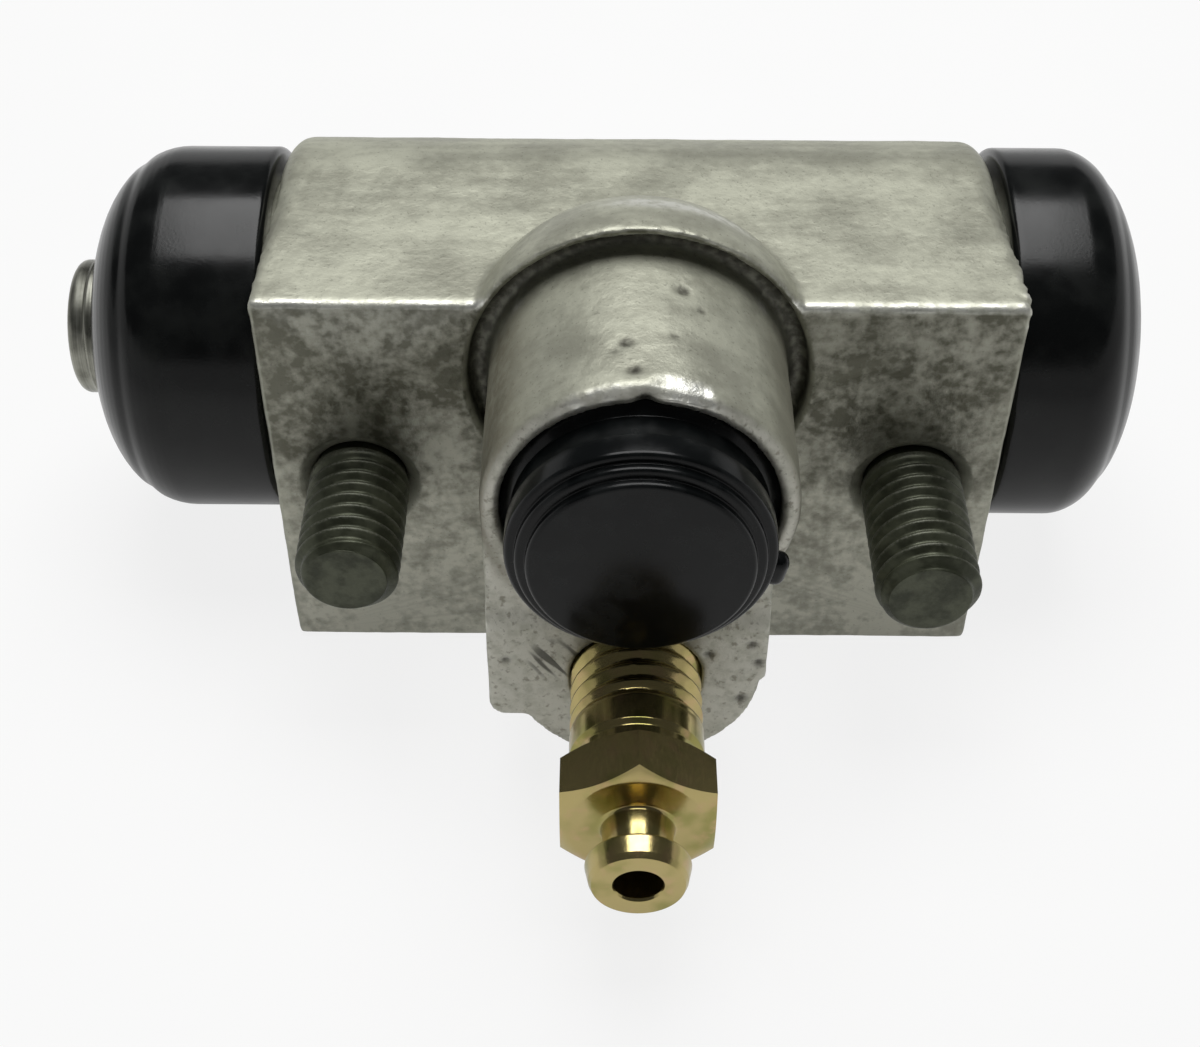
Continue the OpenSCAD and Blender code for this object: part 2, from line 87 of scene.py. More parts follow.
Point = tuple[float, float, float]
Colour = tuple[float, float, float]
Corner = tuple[float, float, float]
Pair = tuple[float, float]
Path = list[Pair]
Station = tuple[Union[float, np.ndarray], Union[float, np.ndarray]]
Socket = bpy.types.NodeSocket
Object = bpy.types.Object
Material = bpy.types.Material
Value = Union[Socket, float, Sequence[float]]


class Body(Enum):
    """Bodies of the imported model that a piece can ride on."""

    CYLINDER = "cylinder"
    LEFT_THRUST = "left_thrust"
    RIGHT_THRUST = "right_thrust"
    BLEEDER = "bleeder"
    PLUG = "plug"


class Side(Enum):
    """End of the bore: the sign of X there."""

    LEFT = -1
    RIGHT = 1

    @property
    def word(self) -> str:
        """Name of the side as it stands in the names of pieces."""
        return self.name.lower()

    @property
    def thrust(self) -> Body:
        """Body of the piston on this side."""
        return Body.LEFT_THRUST if self is Side.LEFT else Body.RIGHT_THRUST


@dataclass(frozen=True)
class TurningAxis:
    """Line that round pieces are turned about.

    Attributes:
        origin: Point of the line where the distance along it is zero, in mm.
        along: Unit vector along the line.
        across: Unit vector at a right angle to it, where the angle is zero.
    """

    origin: Point
    along: Point
    across: Point

    def place(self, radii: np.ndarray, stations: np.ndarray, angles: np.ndarray) -> np.ndarray:
        """Turns radius, distance and angle into points.

        Args:
            radii: Distance from the line, in mm.
            stations: Distance along the line, in mm.
            angles: Angle around the line, in radians.

        Returns:
            One row of three coordinates in mm for each radius.
        """
        along = np.array(self.along)
        across = np.array(self.across)
        third = np.cross(along, across)
        turn = np.outer(np.cos(angles), across) + np.outer(np.sin(angles), third)
        return np.array(self.origin) + np.outer(stations, along) + turn * radii[:, None]


class NodeTree:
    """Node tree whose nodes are added and joined by short calls."""

    tree: bpy.types.NodeTree

    def add(self, kind: str, inputs: Optional[dict] = None, **options: object) -> bpy.types.Node:
        """Adds a node.

        Args:
            kind: Blender's name of the node type.
            inputs: Input name or number to a value or to the socket that feeds it.
            **options: Properties of the node itself.

        Returns:
            The new node.
        """
        node = self.tree.nodes.new(kind)
        for key, value in options.items():
            setattr(node, key, value)
        for key, value in (inputs or {}).items():
            socket = node.inputs[key]
            if isinstance(value, Socket):
                self.tree.links.new(value, socket)
            else:
                socket.default_value = value
        return node

    def math(self, operation: str, result: Value, *others: Value) -> Socket:
        """Joins values, one after the other, by a mathematical operation.

        Args:
            operation: Operation of the Math node.
            result: First value.
            *others: Further values, or none for an operation on one value.

        Returns:
            Socket of the result.
        """
        for other in others or (0.0,):
            result = self.add("ShaderNodeMath", {0: result, 1: other}, operation=operation).outputs[0]
        return result

    def weighted(self, *terms: tuple[Value, float]) -> Socket:
        """Adds up values, each times its share, and returns the sum's socket."""
        return self.math("ADD", *[self.math("MULTIPLY", value, share) for value, share in terms])

    def ramp(
        self, value: Value, low: Value, high: Value,
        to_low: float = 0.0, to_high: float = 1.0, smooth: bool = True,
    ) -> Socket:
        """Maps a span of a value to another span.

        Args:
            value: What is mapped.
            low: Start of its span.
            high: End of its span.
            to_low: Result at the start.
            to_high: Result at the end.
            smooth: Whether the result eases in and out.

        Returns:
            Socket of the result.
        """
        kind = "SMOOTHSTEP" if smooth else "LINEAR"
        inputs = {"Value": value, "From Min": low, "From Max": high, "To Min": to_low, "To Max": to_high}
        return self.add("ShaderNodeMapRange", inputs, interpolation_type=kind).outputs[0]


class Shader(NodeTree):
    """Material built from nodes on the piece's own coordinates."""

    def __init__(self, name: str) -> None:
        """Makes an empty node material.

        Args:
            name: Name of the material.
        """
        self.material = bpy.data.materials.new(name)
        self.material.use_nodes = True
        self.tree = self.material.node_tree
        self.tree.nodes.clear()
        self.coords = self.add("ShaderNodeTexCoord").outputs["Object"]

    def noise(
        self, size_mm: float, detail: float = 3.0, stretch: Point = (1, 1, 1), turn: float = 0.0
    ) -> Socket:
        """Adds a noise pattern on the piece's own coordinates.

        Args:
            size_mm: Size of its main features.
            detail: Number of finer octaves.
            stretch: Factor on the scale along each axis.
            turn: Angle about Y, in degrees, by which the stretched pattern is turned.

        Returns:
            Socket of the noise, from 0 to 1.
        """
        place = self.coords
        if turn:
            angles = (0.0, math.radians(turn), 0.0)
            place = self.add("ShaderNodeMapping", {"Vector": place, "Rotation": angles}).outputs[0]
        mapping = self.add("ShaderNodeMapping", {"Vector": place, "Scale": stretch})
        pattern = self.add(
            "ShaderNodeTexNoise",
            {"Vector": mapping.outputs[0], "Scale": 1 / (size_mm * MM), "Detail": detail},
        )
        return pattern.outputs["Fac"]

    def near(self, place: Point, inner: float, outer: float) -> Socket:
        """Adds a round mask about a place.

        Args:
            place: Middle of the mask, in mm.
            inner: Radius up to which it is 1, in mm.
            outer: Radius from which it is 0, in mm.

        Returns:
            Socket of the mask.
        """
        middle = tuple(value * MM for value in place)
        gap = self.add("ShaderNodeVectorMath", {0: self.coords, 1: middle}, operation="DISTANCE")
        return self.ramp(gap.outputs["Value"], inner * MM, outer * MM, 1.0, 0.0)

    def attribute(self, name: str) -> Socket:
        """Reads one value of a mesh attribute by its name."""
        return self.add("ShaderNodeAttribute", attribute_name=name).outputs["Fac"]

    def mix(self, factor: Value, first: Value, second: Value) -> Socket:
        """Mixes two colours.

        Args:
            factor: Share of the second colour.
            first: First colour.
            second: Second colour.

        Returns:
            Socket of the mixed colour.
        """
        node = self.add("ShaderNodeMix", data_type="RGBA")
        for number, value in ((0, factor), (6, first), (7, second)):
            if isinstance(value, Socket):
                self.tree.links.new(value, node.inputs[number])
            elif number == 0:
                node.inputs[number].default_value = value
            else:
                node.inputs[number].default_value = (*value, 1.0)
        return node.outputs[2]

    def bump(self, height: Value, depth_mm: float, under: Optional[Socket] = None) -> Socket:
        """Adds a bump.

        Args:
            height: Height of the relief, from 0 to 1.
            depth_mm: Depth of the relief.
            under: Normal of a bump below this one.

        Returns:
            Socket of the bumped normal.
        """
        inputs = {"Height": height, "Distance": depth_mm * MM, "Strength": 1.0}
        if under is not None:
            inputs["Normal"] = under
        return self.add("ShaderNodeBump", inputs).outputs[0]

    def close(self, **sockets: Value) -> Material:
        """Adds the surface shader and the output.

        Args:
            **sockets: Inputs of the Principled shader, with _ for each space.

        Returns:
            The finished material.
        """
        inputs = {}
        for key, value in sockets.items():
            name = key.replace("_", " ")
            is_colour = isinstance(value, tuple) and len(value) == 3
            inputs[name] = (*value, 1.0) if is_colour else value
        surface = self.add("ShaderNodeBsdfPrincipled", inputs)
        self.add("ShaderNodeOutputMaterial", {"Surface": surface.outputs[0]})
        return self.material


@dataclass(frozen=True)
class CastAluminium:
    """Die-cast aluminium: pale mottled skin with dirt specks, darker machined face with a painted light
    gradient, painted light on forward faces, bright worn edges with painted highlights, and painted shade in
    corners and the groove.
    """

    dark: Colour = (0.32, 0.32, 0.255)
    pale: Colour = (0.485, 0.49, 0.395)
    face_dark: Colour = (0.10, 0.098, 0.067)
    face_pale: Colour = (0.56, 0.555, 0.465)
    # bright colour: worn metal on edges and chips, and painted highlights on the front-top edge, the
    # groove's lip and the boss's mouth strip
    bright: Colour = (0.84, 0.84, 0.78)
    # grime colour: dirt specks and scratch lines, and painted shade in corners, the groove and the pits
    grime_and_shade: Colour = (0.035, 0.032, 0.022)
    # stain colour: stain specks on the forward faces, and the painted dark reflection on the boss's flanks
    stain_and_shade: Colour = (0.15, 0.13, 0.085)
    # front colour: painted light on the forward faces of the tongue and the boss
    front: Colour = (0.63, 0.62, 0.545)
    scratched: Point = (-6.0, -15.5, -3.4)

    def build(self) -> Material:
        """Builds the material, which reads the attributes for wear and painted highlights, grime and painted
        shade, stain and painted dark reflection, forward faces that get painted light, and the machined
        face.
        """
        s = Shader("cast_aluminium_skin")
        blotch = s.noise(6.0, 5.0)
        grain = s.noise(0.8, 4.0)
        speck = s.noise(0.25, 2.0)
        streak = s.noise(1.4, 3.0, (0.08, 1.0, 1.0))
        tone = s.weighted((blotch, 0.5), (grain, 0.25), (streak, 0.25))
        share = s.ramp(tone, 0.36, 0.64)
        skin = s.mix(share, self.dark, self.pale)
        height = s.add("ShaderNodeSeparateXYZ", {0: s.coords}).outputs[2]
        # Painted light: the machined face is lighter towards the bottom and darker towards the top, standing
        # in for light bounced up from the floor.
        painted_bottom_light = s.ramp(height, -15 * MM, 13 * MM, 0.46, -0.23)
        cloud = s.noise(2.6, 4.0)
        patch = s.weighted((blotch, 0.35), (cloud, 0.35), (grain, 0.3))
        patch = s.math("MULTIPLY", s.ramp(patch, 0.37, 0.63), 0.84)
        face = s.mix(s.math("ADD", painted_bottom_light, patch), self.face_dark, self.face_pale)
        machined = s.attribute("machined")
        colour = s.mix(machined, skin, face)
        front = s.attribute("front")
        scratched = s.near(self.scratched, 1.3, 2.8)
        lines = s.noise(0.75, 1.0, (0.14, 1.0, 1.0), -56.0)
        layers = (
            # painted light on the forward faces of the tongue and boss, then stain specks there
            (self.front, front, grain, (0.3, 0.62, 0.45, 0.95)),
            (self.stain_and_shade, front, s.noise(0.6, 3.0), (0.56, 0.70, 0.0, 0.55)),
            (self.grime_and_shade, 1.0, speck, (0.62, 0.72, 0.0, 0.3)),
            (self.grime_and_shade, scratched, lines, (0.47, 0.57, 0.0, 0.8)),
            # painted dark reflection on the boss's flanks, from the stain attribute
            (self.stain_and_shade, s.attribute("stain_and_shade"), grain, (0.3, 0.65, 0.55, 1.0)),
            # painted shade in corners, the groove and the pits, and the painted plug shadow, from the grime
            # attribute
            (self.grime_and_shade, s.attribute("grime_and_shade"), grain, (0.3, 0.6, 0.6, 1.0)),
        )
        for over, mask, pattern, limits in layers:
            share = s.math("MULTIPLY", mask, s.ramp(pattern, *limits))
            colour = s.mix(share, colour, over)
        # wear and painted highlights from the wear attribute brighten the colour
        wear_and_highlight = s.math("MULTIPLY", s.attribute("wear_and_highlight"), s.ramp(grain, 0.35, 0.6, 0.35, 1.0))
        colour = s.mix(wear_and_highlight, colour, self.bright)
        rough = s.ramp(blotch, 0.3, 0.7, 0.42, 0.54)
        rough = s.math("SUBTRACT", rough, s.weighted((machined, 0.08), (wear_and_highlight, 0.14)))
        metal = s.math("ADD", 0.5, s.math("MULTIPLY", wear_and_highlight, 0.35))
        relief = s.bump(grain, 0.05)
        relief = s.bump(speck, 0.02, relief)
        return s.close(Base_Color=colour, Roughness=rough, Metallic=metal, Normal=relief)


@dataclass(frozen=True)
class PhosphatedSteel:
    """Dark olive phosphate on steel, with a painted highlight on the thread crests."""

    dark: Colour = (0.036, 0.040, 0.023)
    pale: Colour = (0.085, 0.092, 0.060)
    crest_highlight: Colour = (0.30, 0.30, 0.26)

    def build(self) -> Material:
        """Builds the material, which reads the attribute that marks the thread crests for their painted
        highlight.
        """
        s = Shader("phosphated_steel_stud")
        cloud = s.noise(1.6, 4.0)
        grain = s.noise(0.18, 2.0)
        colour = s.mix(s.ramp(cloud, 0.35, 0.65), self.dark, self.pale)
        # painted highlight: the thread crests are made paler
        crest_highlight = s.math("MULTIPLY", s.attribute("wear_and_highlight"), s.ramp(grain, 0.3, 0.7, 0.05, 0.3))
        colour = s.mix(crest_highlight, colour, self.crest_highlight)
        rough = s.ramp(grain, 0.3, 0.7, 0.38, 0.54)
        return s.close(
            Base_Color=colour, Roughness=rough, Metallic=0.55, Normal=s.bump(grain, 0.012)
        )


@dataclass(frozen=True)
class YellowZinc:
    """Yellow passivated zinc plate with a faint play of colour."""

    straw: Colour = (0.47, 0.385, 0.165)
    olive: Colour = (0.31, 0.285, 0.09)
    rose: Colour = (0.54, 0.37, 0.20)

    def build(self) -> Material:
        """Builds the material."""
        s = Shader("yellow_zinc_plate")
        drift = s.noise(3.2, 2.0)
        cloud = s.noise(1.3, 3.0)
        grain = s.noise(0.12, 2.0, (1.0, 0.25, 1.0))
        colour = s.mix(s.ramp(drift, 0.30, 0.54), self.olive, self.straw)
        colour = s.mix(s.ramp(cloud, 0.5, 0.75, 0.0, 0.7), colour, self.rose)
        rough = s.ramp(grain, 0.3, 0.7, 0.15, 0.22)
        return s.close(
            Base_Color=colour, Roughness=rough, Metallic=0.95, Normal=s.bump(grain, 0.0025)
        )


@dataclass(frozen=True)
class MouldedPlastic:
    """Black moulded plastic with a satin skin."""

    base: Colour = (0.0035, 0.0042, 0.0044)
    dusty: Colour = (0.010, 0.0112, 0.0114)

    def build(self) -> Material:
        """Builds the material."""
        s = Shader("black_moulded_plastic")
        cloud = s.noise(2.4, 4.0)
        grain = s.noise(0.16, 2.0)
        colour = s.mix(s.ramp(cloud, 0.42, 0.7), self.base, self.dusty)
        rough = s.ramp(cloud, 0.3, 0.7, 0.16, 0.26)
        return s.close(
            Base_Color=colour, Roughness=rough, Specular_IOR_Level=0.2, Normal=s.bump(grain, 0.003)
        )


@dataclass(frozen=True)
class Rubber:
    """Black rubber with a faint bloom.

    Attributes:
        name: Name of the material.
        base: Colour of clean rubber.
        bloom: Colour where the surface has bloomed.
        gloss: Roughness where it is smoothest.
    """

    name: str
    base: Colour = (0.0035, 0.004, 0.004)
    bloom: Colour = (0.010, 0.011, 0.0105)
    gloss: float = 0.16

    def build(self) -> Material:
        """Builds the material."""
        s = Shader(self.name)
        cloud = s.noise(4.0, 5.0)
        grain = s.noise(0.22, 3.0)
        colour = s.mix(s.ramp(cloud, 0.4, 0.72), self.base, self.bloom)
        rough = s.ramp(cloud, 0.3, 0.7, self.gloss, self.gloss + 0.08)
        return s.close(
            Base_Color=colour, Roughness=rough, Specular_IOR_Level=0.26, Normal=s.bump(grain, 0.006)
        )


@dataclass(frozen=True)
class TurnedMetal:
    """Metal turned on a lathe, with fine rings around the bore's direction.

    Attributes:
        name: Name of the material.
        dark: Colour in the rings.
        pale: Colour between them.
        rough: Mean roughness.
    """

    name: str
    dark: Colour
    pale: Colour
    rough: float

    def build(self) -> Material:
        """Builds the material."""
        s = Shader(self.name)
        rings = s.noise(0.25, 3.0, (1.0, 0.03, 0.03))
        cloud = s.noise(2.2, 3.0)
        tone = s.weighted((rings, 0.5), (cloud, 0.5))
        colour = s.mix(s.ramp(tone, 0.36, 0.64), self.dark, self.pale)
        rough = s.ramp(cloud, 0.3, 0.7, self.rough - 0.06, self.rough + 0.06)
        return s.close(
            Base_Color=colour, Roughness=rough, Metallic=0.85, Normal=s.bump(rings, 0.006)
        )


class Workshop:
    """Finishes of the wheel cylinder, each built once."""

    def __init__(self) -> None:
        """Builds every finish."""
        self.casting = CastAluminium().build()
        self.stud = PhosphatedSteel().build()
        self.bleeder = YellowZinc().build()
        self.plastic = MouldedPlastic().build()
        self.boot = Rubber("boot_rubber_satin").build()
        self.seal = Rubber("seal_rubber_wet", gloss=0.2).build()
        self.steel = TurnedMetal("turned_steel", (0.15, 0.15, 0.125), (0.36, 0.36, 0.31), 0.32).build()
        self.piston = TurnedMetal("anodised_piston", (0.26, 0.25, 0.21), (0.42, 0.41, 0.36), 0.30).build()
        self.spring = TurnedMetal("spring_wire", (0.10, 0.10, 0.10), (0.26, 0.26, 0.25), 0.32).build()


def rounded(corners: Sequence[Corner], steps: int = 6) -> Path:
    """Rounds the corners of a profile.

    Args:
        corners: Radius, distance and corner radius of each corner, in mm.
        steps: Number of spans in each round.

    Returns:
        Radius and distance of each point of the profile.
    """
    path: Path = []
    last = len(corners) - 1
    for number, (radius, distance, fillet) in enumerate(corners):
        here = Vector((radius, distance))
        if fillet <= 0 or number in (0, last):
            path.append((radius, distance))
            continue
        before = Vector(corners[number - 1][:2]) - here
        after = Vector(corners[number + 1][:2]) - here
        half = before.angle(after) / 2
        reach = min(fillet / math.tan(half), before.length * 0.49, after.length * 0.49)
        fillet = reach * math.tan(half)
        middle = here + (before.normalized() + after.normalized()).normalized() * (fillet / math.sin(half))
        start = here + before.normalized() * reach - middle
        end = here + after.normalized() * reach - middle
        for step in range(steps + 1):
            spoke = start.lerp(end, step / steps).normalized()
            path.append(tuple(middle + spoke * fillet))
    return path


def densified(path: Sequence[Pair], longest: float) -> Path:
    """Splits each span of a profile that is longer than a given length."""
    out = [path[0]]
    for first, second in zip(path, path[1:]):
        parts = max(1, math.ceil(math.dist(first, second) / longest))
        for part in range(1, parts + 1):
            share = part / parts
            out.append(tuple(a + (b - a) * share for a, b in zip(first, second)))
    return out


def linked(name: str, data: Union[bpy.types.ID, bmesh.types.BMesh]) -> Object:
    """Makes an object and links it to the scene.

    Args:
        name: Name of the object, and of its mesh where it is new.
        data: What the object holds, or a work mesh that is turned into its mesh and freed.

    Returns:
        The linked object.
    """
    if isinstance(data, bmesh.types.BMesh):
        mesh = bpy.data.meshes.new(name)
        data.to_mesh(mesh)
        data.free()
        data = mesh
    item = bpy.data.objects.new(name, data)
    bpy.context.scene.collection.objects.link(item)
    return item


def mesh_object(name: str, points: np.ndarray, faces: Sequence[Sequence[int]]) -> Object:
    """Makes an object from points and faces, with its faces outwards.

    Args:
        name: Name of the piece.
        points: Its points, in mm.
        faces: Its faces, as numbers of points.

    Returns:
        The linked object.
    """
    mesh = bpy.data.meshes.new(name)
    mesh.from_pydata((points * MM).tolist(), [], [list(f) for f in faces])
    work = bmesh.new()
    work.from_mesh(mesh)
    bmesh.ops.recalc_face_normals(work, faces=work.faces)
    work.to_mesh(mesh)
    work.free()
    mesh.shade_smooth()
    mesh.set_sharp_from_angle(angle=TURNED_EDGE)
    return linked(name, mesh)


def revolve(
    name: str, axis: TurningAxis, profile: Sequence[Station], segments: int = 96, closed: bool = False
) -> Object:
    """Turns a profile about an axis.

    Args:
        name: Name of the piece.
        axis: What it is turned about.
        profile: Radius and distance of each station, in mm, one number or one for each segment.
        segments: Number of points in each ring.
        closed: Whether the last station joins the first, as in a ring.

    Returns:
        The linked object.
    """
    angles = np.arange(segments) * FULL_TURN / segments
    rings: list[list[int]] = []
    points: list[np.ndarray] = []
    count = 0
    for radius, distance in profile:
        if np.max(radius) < 1e-9:
            points.append(axis.place(np.zeros(1), np.array([distance]), np.zeros(1)))
            rings.append([count] * segments)
            count += 1
            continue
        around, places = (np.broadcast_to(value, segments) for value in (radius, distance))
        points.append(axis.place(around, places, angles))
        rings.append(list(range(count, count + segments)))
        count += segments
    faces = []
    pairs = list(zip(rings, rings[1:]))
    if closed:
        pairs.append((rings[-1], rings[0]))
    for near, far in pairs:
        for number in range(segments):
            following = (number + 1) % segments
            corners = [near[number], near[following], far[following], far[number]]
            face = list(dict.fromkeys(corners))
            if len(face) > 2:
                faces.append(face)
    return mesh_object(name, np.vstack(points), faces)


def neighbour_mean(values: np.ndarray, edges: np.ndarray, degree: np.ndarray) -> np.ndarray:
    """Mean of a value over the neighbours of each point.

    Args:
        values: One row for each point.
        edges: Pairs of joined points.
        degree: Number of neighbours of each point.

    Returns:
        One row of means for each point.
    """
    first, second = edges[:, 0], edges[:, 1]
    total = np.zeros_like(values)
    for column in range(values.shape[1]):
        total[:, column] = np.bincount(first, values[second, column], len(values))
        total[:, column] += np.bincount(second, values[first, column], len(values))
    return total / np.maximum(degree, 1)[:, None]


class MeshData:
    """Points, edges and normals of a mesh as arrays."""

    def __init__(self, mesh: bpy.types.Mesh) -> None:
        """Reads a mesh.

        Args:
            mesh: The mesh, which stays as it is until a value is stored.
        """
        self.mesh = mesh
        self.points = self.read(mesh.vertices, "co", 3)
        self.normals = self.read(mesh.vertices, "normal", 3)
        self.edges = self.read(mesh.edges, "vertices", 2, np.int64)
        self.degree = np.bincount(self.edges.ravel(), minlength=len(self.points)).astype(float)

    @staticmethod
    def read(items: Sequence, name: str, width: int, kind: type = float) -> np.ndarray:
        """Reads one property of every item of a mesh, as one row for each item."""
        values = np.zeros(len(items) * width, kind)
        items.foreach_get(name, values)
        return values.reshape(-1, width)

    def smooth(self, rounds: int, share: float) -> None:
        """Moves each point towards its neighbours, a number of times."""
        for _ in range(rounds):
            mean = neighbour_mean(self.points, self.edges, self.degree)
            self.points += share * (mean - self.points)

    def store_points(self) -> None:
        """Writes the points back to the mesh."""
        self.mesh.vertices.foreach_set("co", self.points.ravel())
        self.mesh.update()

    def hollow(self) -> np.ndarray:
        """How far each point lies in a hollow: positive in corners, negative on edges."""
        first, second = self.edges[:, 0], self.edges[:, 1]
        step = self.points[second] - self.points[first]
        step /= np.maximum(np.linalg.norm(step, axis=1), 1e-12)[:, None]
        rise_first = np.einsum("ij,ij->i", step, self.normals[first])
        rise_second = -np.einsum("ij,ij->i", step, self.normals[second])
        total = np.bincount(first, rise_first, len(self.points))
        total += np.bincount(second, rise_second, len(self.points))
        return total / np.maximum(self.degree, 1)

    def store(self, name: str, values: np.ndarray, blur: int = 0) -> None:
        """Keeps one value for each point as an attribute.

        Args:
            name: Name of the attribute.
            values: One value for each point.
            blur: Number of times the values are spread to the neighbours.
        """
        values = values.reshape(-1, 1)
        for _ in range(blur):
            values = 0.5 * values + 0.5 * neighbour_mean(values, self.edges, self.degree)
        attribute = self.mesh.attributes.new(name, "FLOAT", "POINT")
        attribute.data.foreach_set("value", values.ravel().astype(np.float32))


def span(values: np.ndarray, low: float, high: float) -> np.ndarray:
    """Share of the way from low to high, smooth at both ends."""
    share = np.clip((values - low) / (high - low), 0, 1)
    return share * share * (3 - 2 * share)


def noise_at(points: np.ndarray, size: float, shift: Point = (0, 0, 0)) -> np.ndarray:
    """Noise at each point, with features of a size and the pattern moved by a shift."""
    return np.array([noise.noise(Vector(p) / size + Vector(shift)) for p in points])


def take_finish(piece: Object, finish: Material) -> None:
    """Gives a piece one material all over."""
    piece.data.materials.clear()
    piece.data.materials.append(finish)


def apply_modifiers(piece: Object) -> None:
    """Turns a piece with modifiers into a plain mesh."""
    view = bpy.context.evaluated_depsgraph_get()
    shaped = bpy.data.meshes.new_from_object(piece.evaluated_get(view))
    piece.modifiers.clear()
    old = piece.data
    piece.data = shaped
    bpy.data.meshes.remove(old)


def combine(piece: Object, tool: Object, operation: str) -> None:
    """Joins a tool to a piece or cuts it out, and removes the tool.

    Args:
        piece: What is changed.
        tool: What is joined or cut out.
        operation: Operation of the Boolean modifier.
    """
    change = piece.modifiers.new("change", "BOOLEAN")
    change.operation = operation
    change.solver = "EXACT"
    change.object = tool
    apply_modifiers(piece)
    bpy.data.objects.remove(tool)


def dress_node(node: str, finish: Material) -> None:
    """Gives a CAD node a finish and keeps its shape."""
    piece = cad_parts[node]
    if piece.material_slots:
        piece.material_slots[0].material = finish
    else:
        piece.data.materials.append(finish)
    LOG.info("dressed %s", node)


def stand_for(piece: Object, body: Body, slot: str, *nodes: str) -> None:
    """Makes a piece ride on a body and stand for CAD nodes.

    Args:
        piece: The finished piece.
        body: What it rides on.
        slot: Not used.
        *nodes: CAD nodes that it replaces.
    """
    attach(piece, body.value)
    if nodes:
        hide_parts(*nodes)
    LOG.info("built %s", piece.name)


class NodeGroup(NodeTree):
    """Geometry Nodes tree with named inputs that ends in Realize Instances and Set Material."""

    def __init__(self, name: str, sizes: Sequence[str]) -> None:
        """Makes the tree with its inputs.

        Args:
            name: Name of the tree.
            sizes: Names of the inputs that hold sizes.
        """
        self.tree = bpy.data.node_groups.new(name, "GeometryNodeTree")
        face = self.tree.interface
        face.new_socket("Geometry", in_out="INPUT", socket_type="NodeSocketGeometry")
        self.sockets = {}
        for size in sizes:
            item = face.new_socket(size, in_out="INPUT", socket_type="NodeSocketFloat")
            self.sockets[size] = item.identifier
        finish = face.new_socket("Finish", in_out="INPUT", socket_type="NodeSocketMaterial")
        self.sockets["Finish"] = finish.identifier
        face.new_socket("Geometry", in_out="OUTPUT", socket_type="NodeSocketGeometry")
        self.entry = self.tree.nodes.new("NodeGroupInput")

    def size(self, name: str) -> Socket:
        """Socket of a named input."""
        return self.entry.outputs[name]

    def close(self, geometry: Socket) -> None:
        """Ends the tree: realizes instances, sets the material and outputs the geometry."""
        real = self.add("GeometryNodeRealizeInstances", {"Geometry": geometry})
        dressed = self.add(
            "GeometryNodeSetMaterial", {"Geometry": real.outputs[0], "Material": self.size("Finish")}
        )
        self.add("NodeGroupOutput", {"Geometry": dressed.outputs[0]})

    def apply(self, piece: Object, finish: Material, **sizes: float) -> None:
        """Runs the tree on a piece and keeps the result as its plain mesh.

        Args:
            piece: The piece, whose mesh is the tree's geometry.
            finish: Material of the result.
            **sizes: Values of the inputs, with _ for each space.
        """
        modifier = piece.modifiers.new(self.tree.name, "NODES")
        modifier.node_group = self.tree
        for key, value in sizes.items():
            modifier[self.sockets[key.replace("_", " ")]] = float(value)
        modifier[self.sockets["Finish"]] = finish
        apply_modifiers(piece)


class ThreadCutter(NodeGroup):
    """Cuts a helical thread into a surface that is turned about a line along -Y."""

    def __init__(self) -> None:
        """Builds the tree."""
        names = ("Pitch", "Depth", "Start", "End", "Runout", "Axis X", "Axis Z", "Core Radius")
        super().__init__("thread_cutter", names)
        place = self.add("GeometryNodeInputPosition")
        parts = self.add("ShaderNodeSeparateXYZ", {0: place.outputs[0]})
        across = self.math("SUBTRACT", parts.outputs[0], self.size("Axis X"))
        upward = self.math("SUBTRACT", parts.outputs[2], self.size("Axis Z"))
        forward = self.math("MULTIPLY", parts.outputs[1], -1.0)
        turn = self.math("DIVIDE", self.math("ARCTAN2", upward, across), FULL_TURN)
        phase = self.math("SUBTRACT", self.math("DIVIDE", forward, self.size("Pitch")), turn)
        wave = self.math("FRACT", phase)
        flank = self.math("MULTIPLY", self.math("ABSOLUTE", self.math("SUBTRACT", wave, 0.5)), 2.0)
        groove = self.ramp(flank, 0.88, 0.16, smooth=False)
        start = self.size("Start")
        end = self.size("End")
        runout = self.size("Runout")
        fade_in = self.ramp(forward, start, self.math("ADD", start, runout))
        fade_out = self.ramp(forward, end, self.math("SUBTRACT", end, runout))
        depth = self.math("MULTIPLY", fade_in, fade_out, self.size("Depth"))
        reach = self.add("ShaderNodeCombineXYZ", {0: across, 2: upward})
        radius = self.add("ShaderNodeVectorMath", {0: reach.outputs[0]}, operation="LENGTH").outputs["Value"]
        outer = self.math("GREATER_THAN", radius, self.size("Core Radius"))
        cut = self.math("MULTIPLY", groove, depth, outer)
        inward = self.add("ShaderNodeVectorMath", {0: reach.outputs[0]}, operation="NORMALIZE")
        offset = self.add("ShaderNodeVectorMath", operation="SCALE")
        self.tree.links.new(inward.outputs[0], offset.inputs[0])
        self.tree.links.new(self.math("MULTIPLY", cut, -1.0), offset.inputs["Scale"])
        moved = self.add(
            "GeometryNodeSetPosition", {"Geometry": self.size("Geometry"), "Offset": offset.outputs[0]}
        )
        self.close(moved.outputs[0])


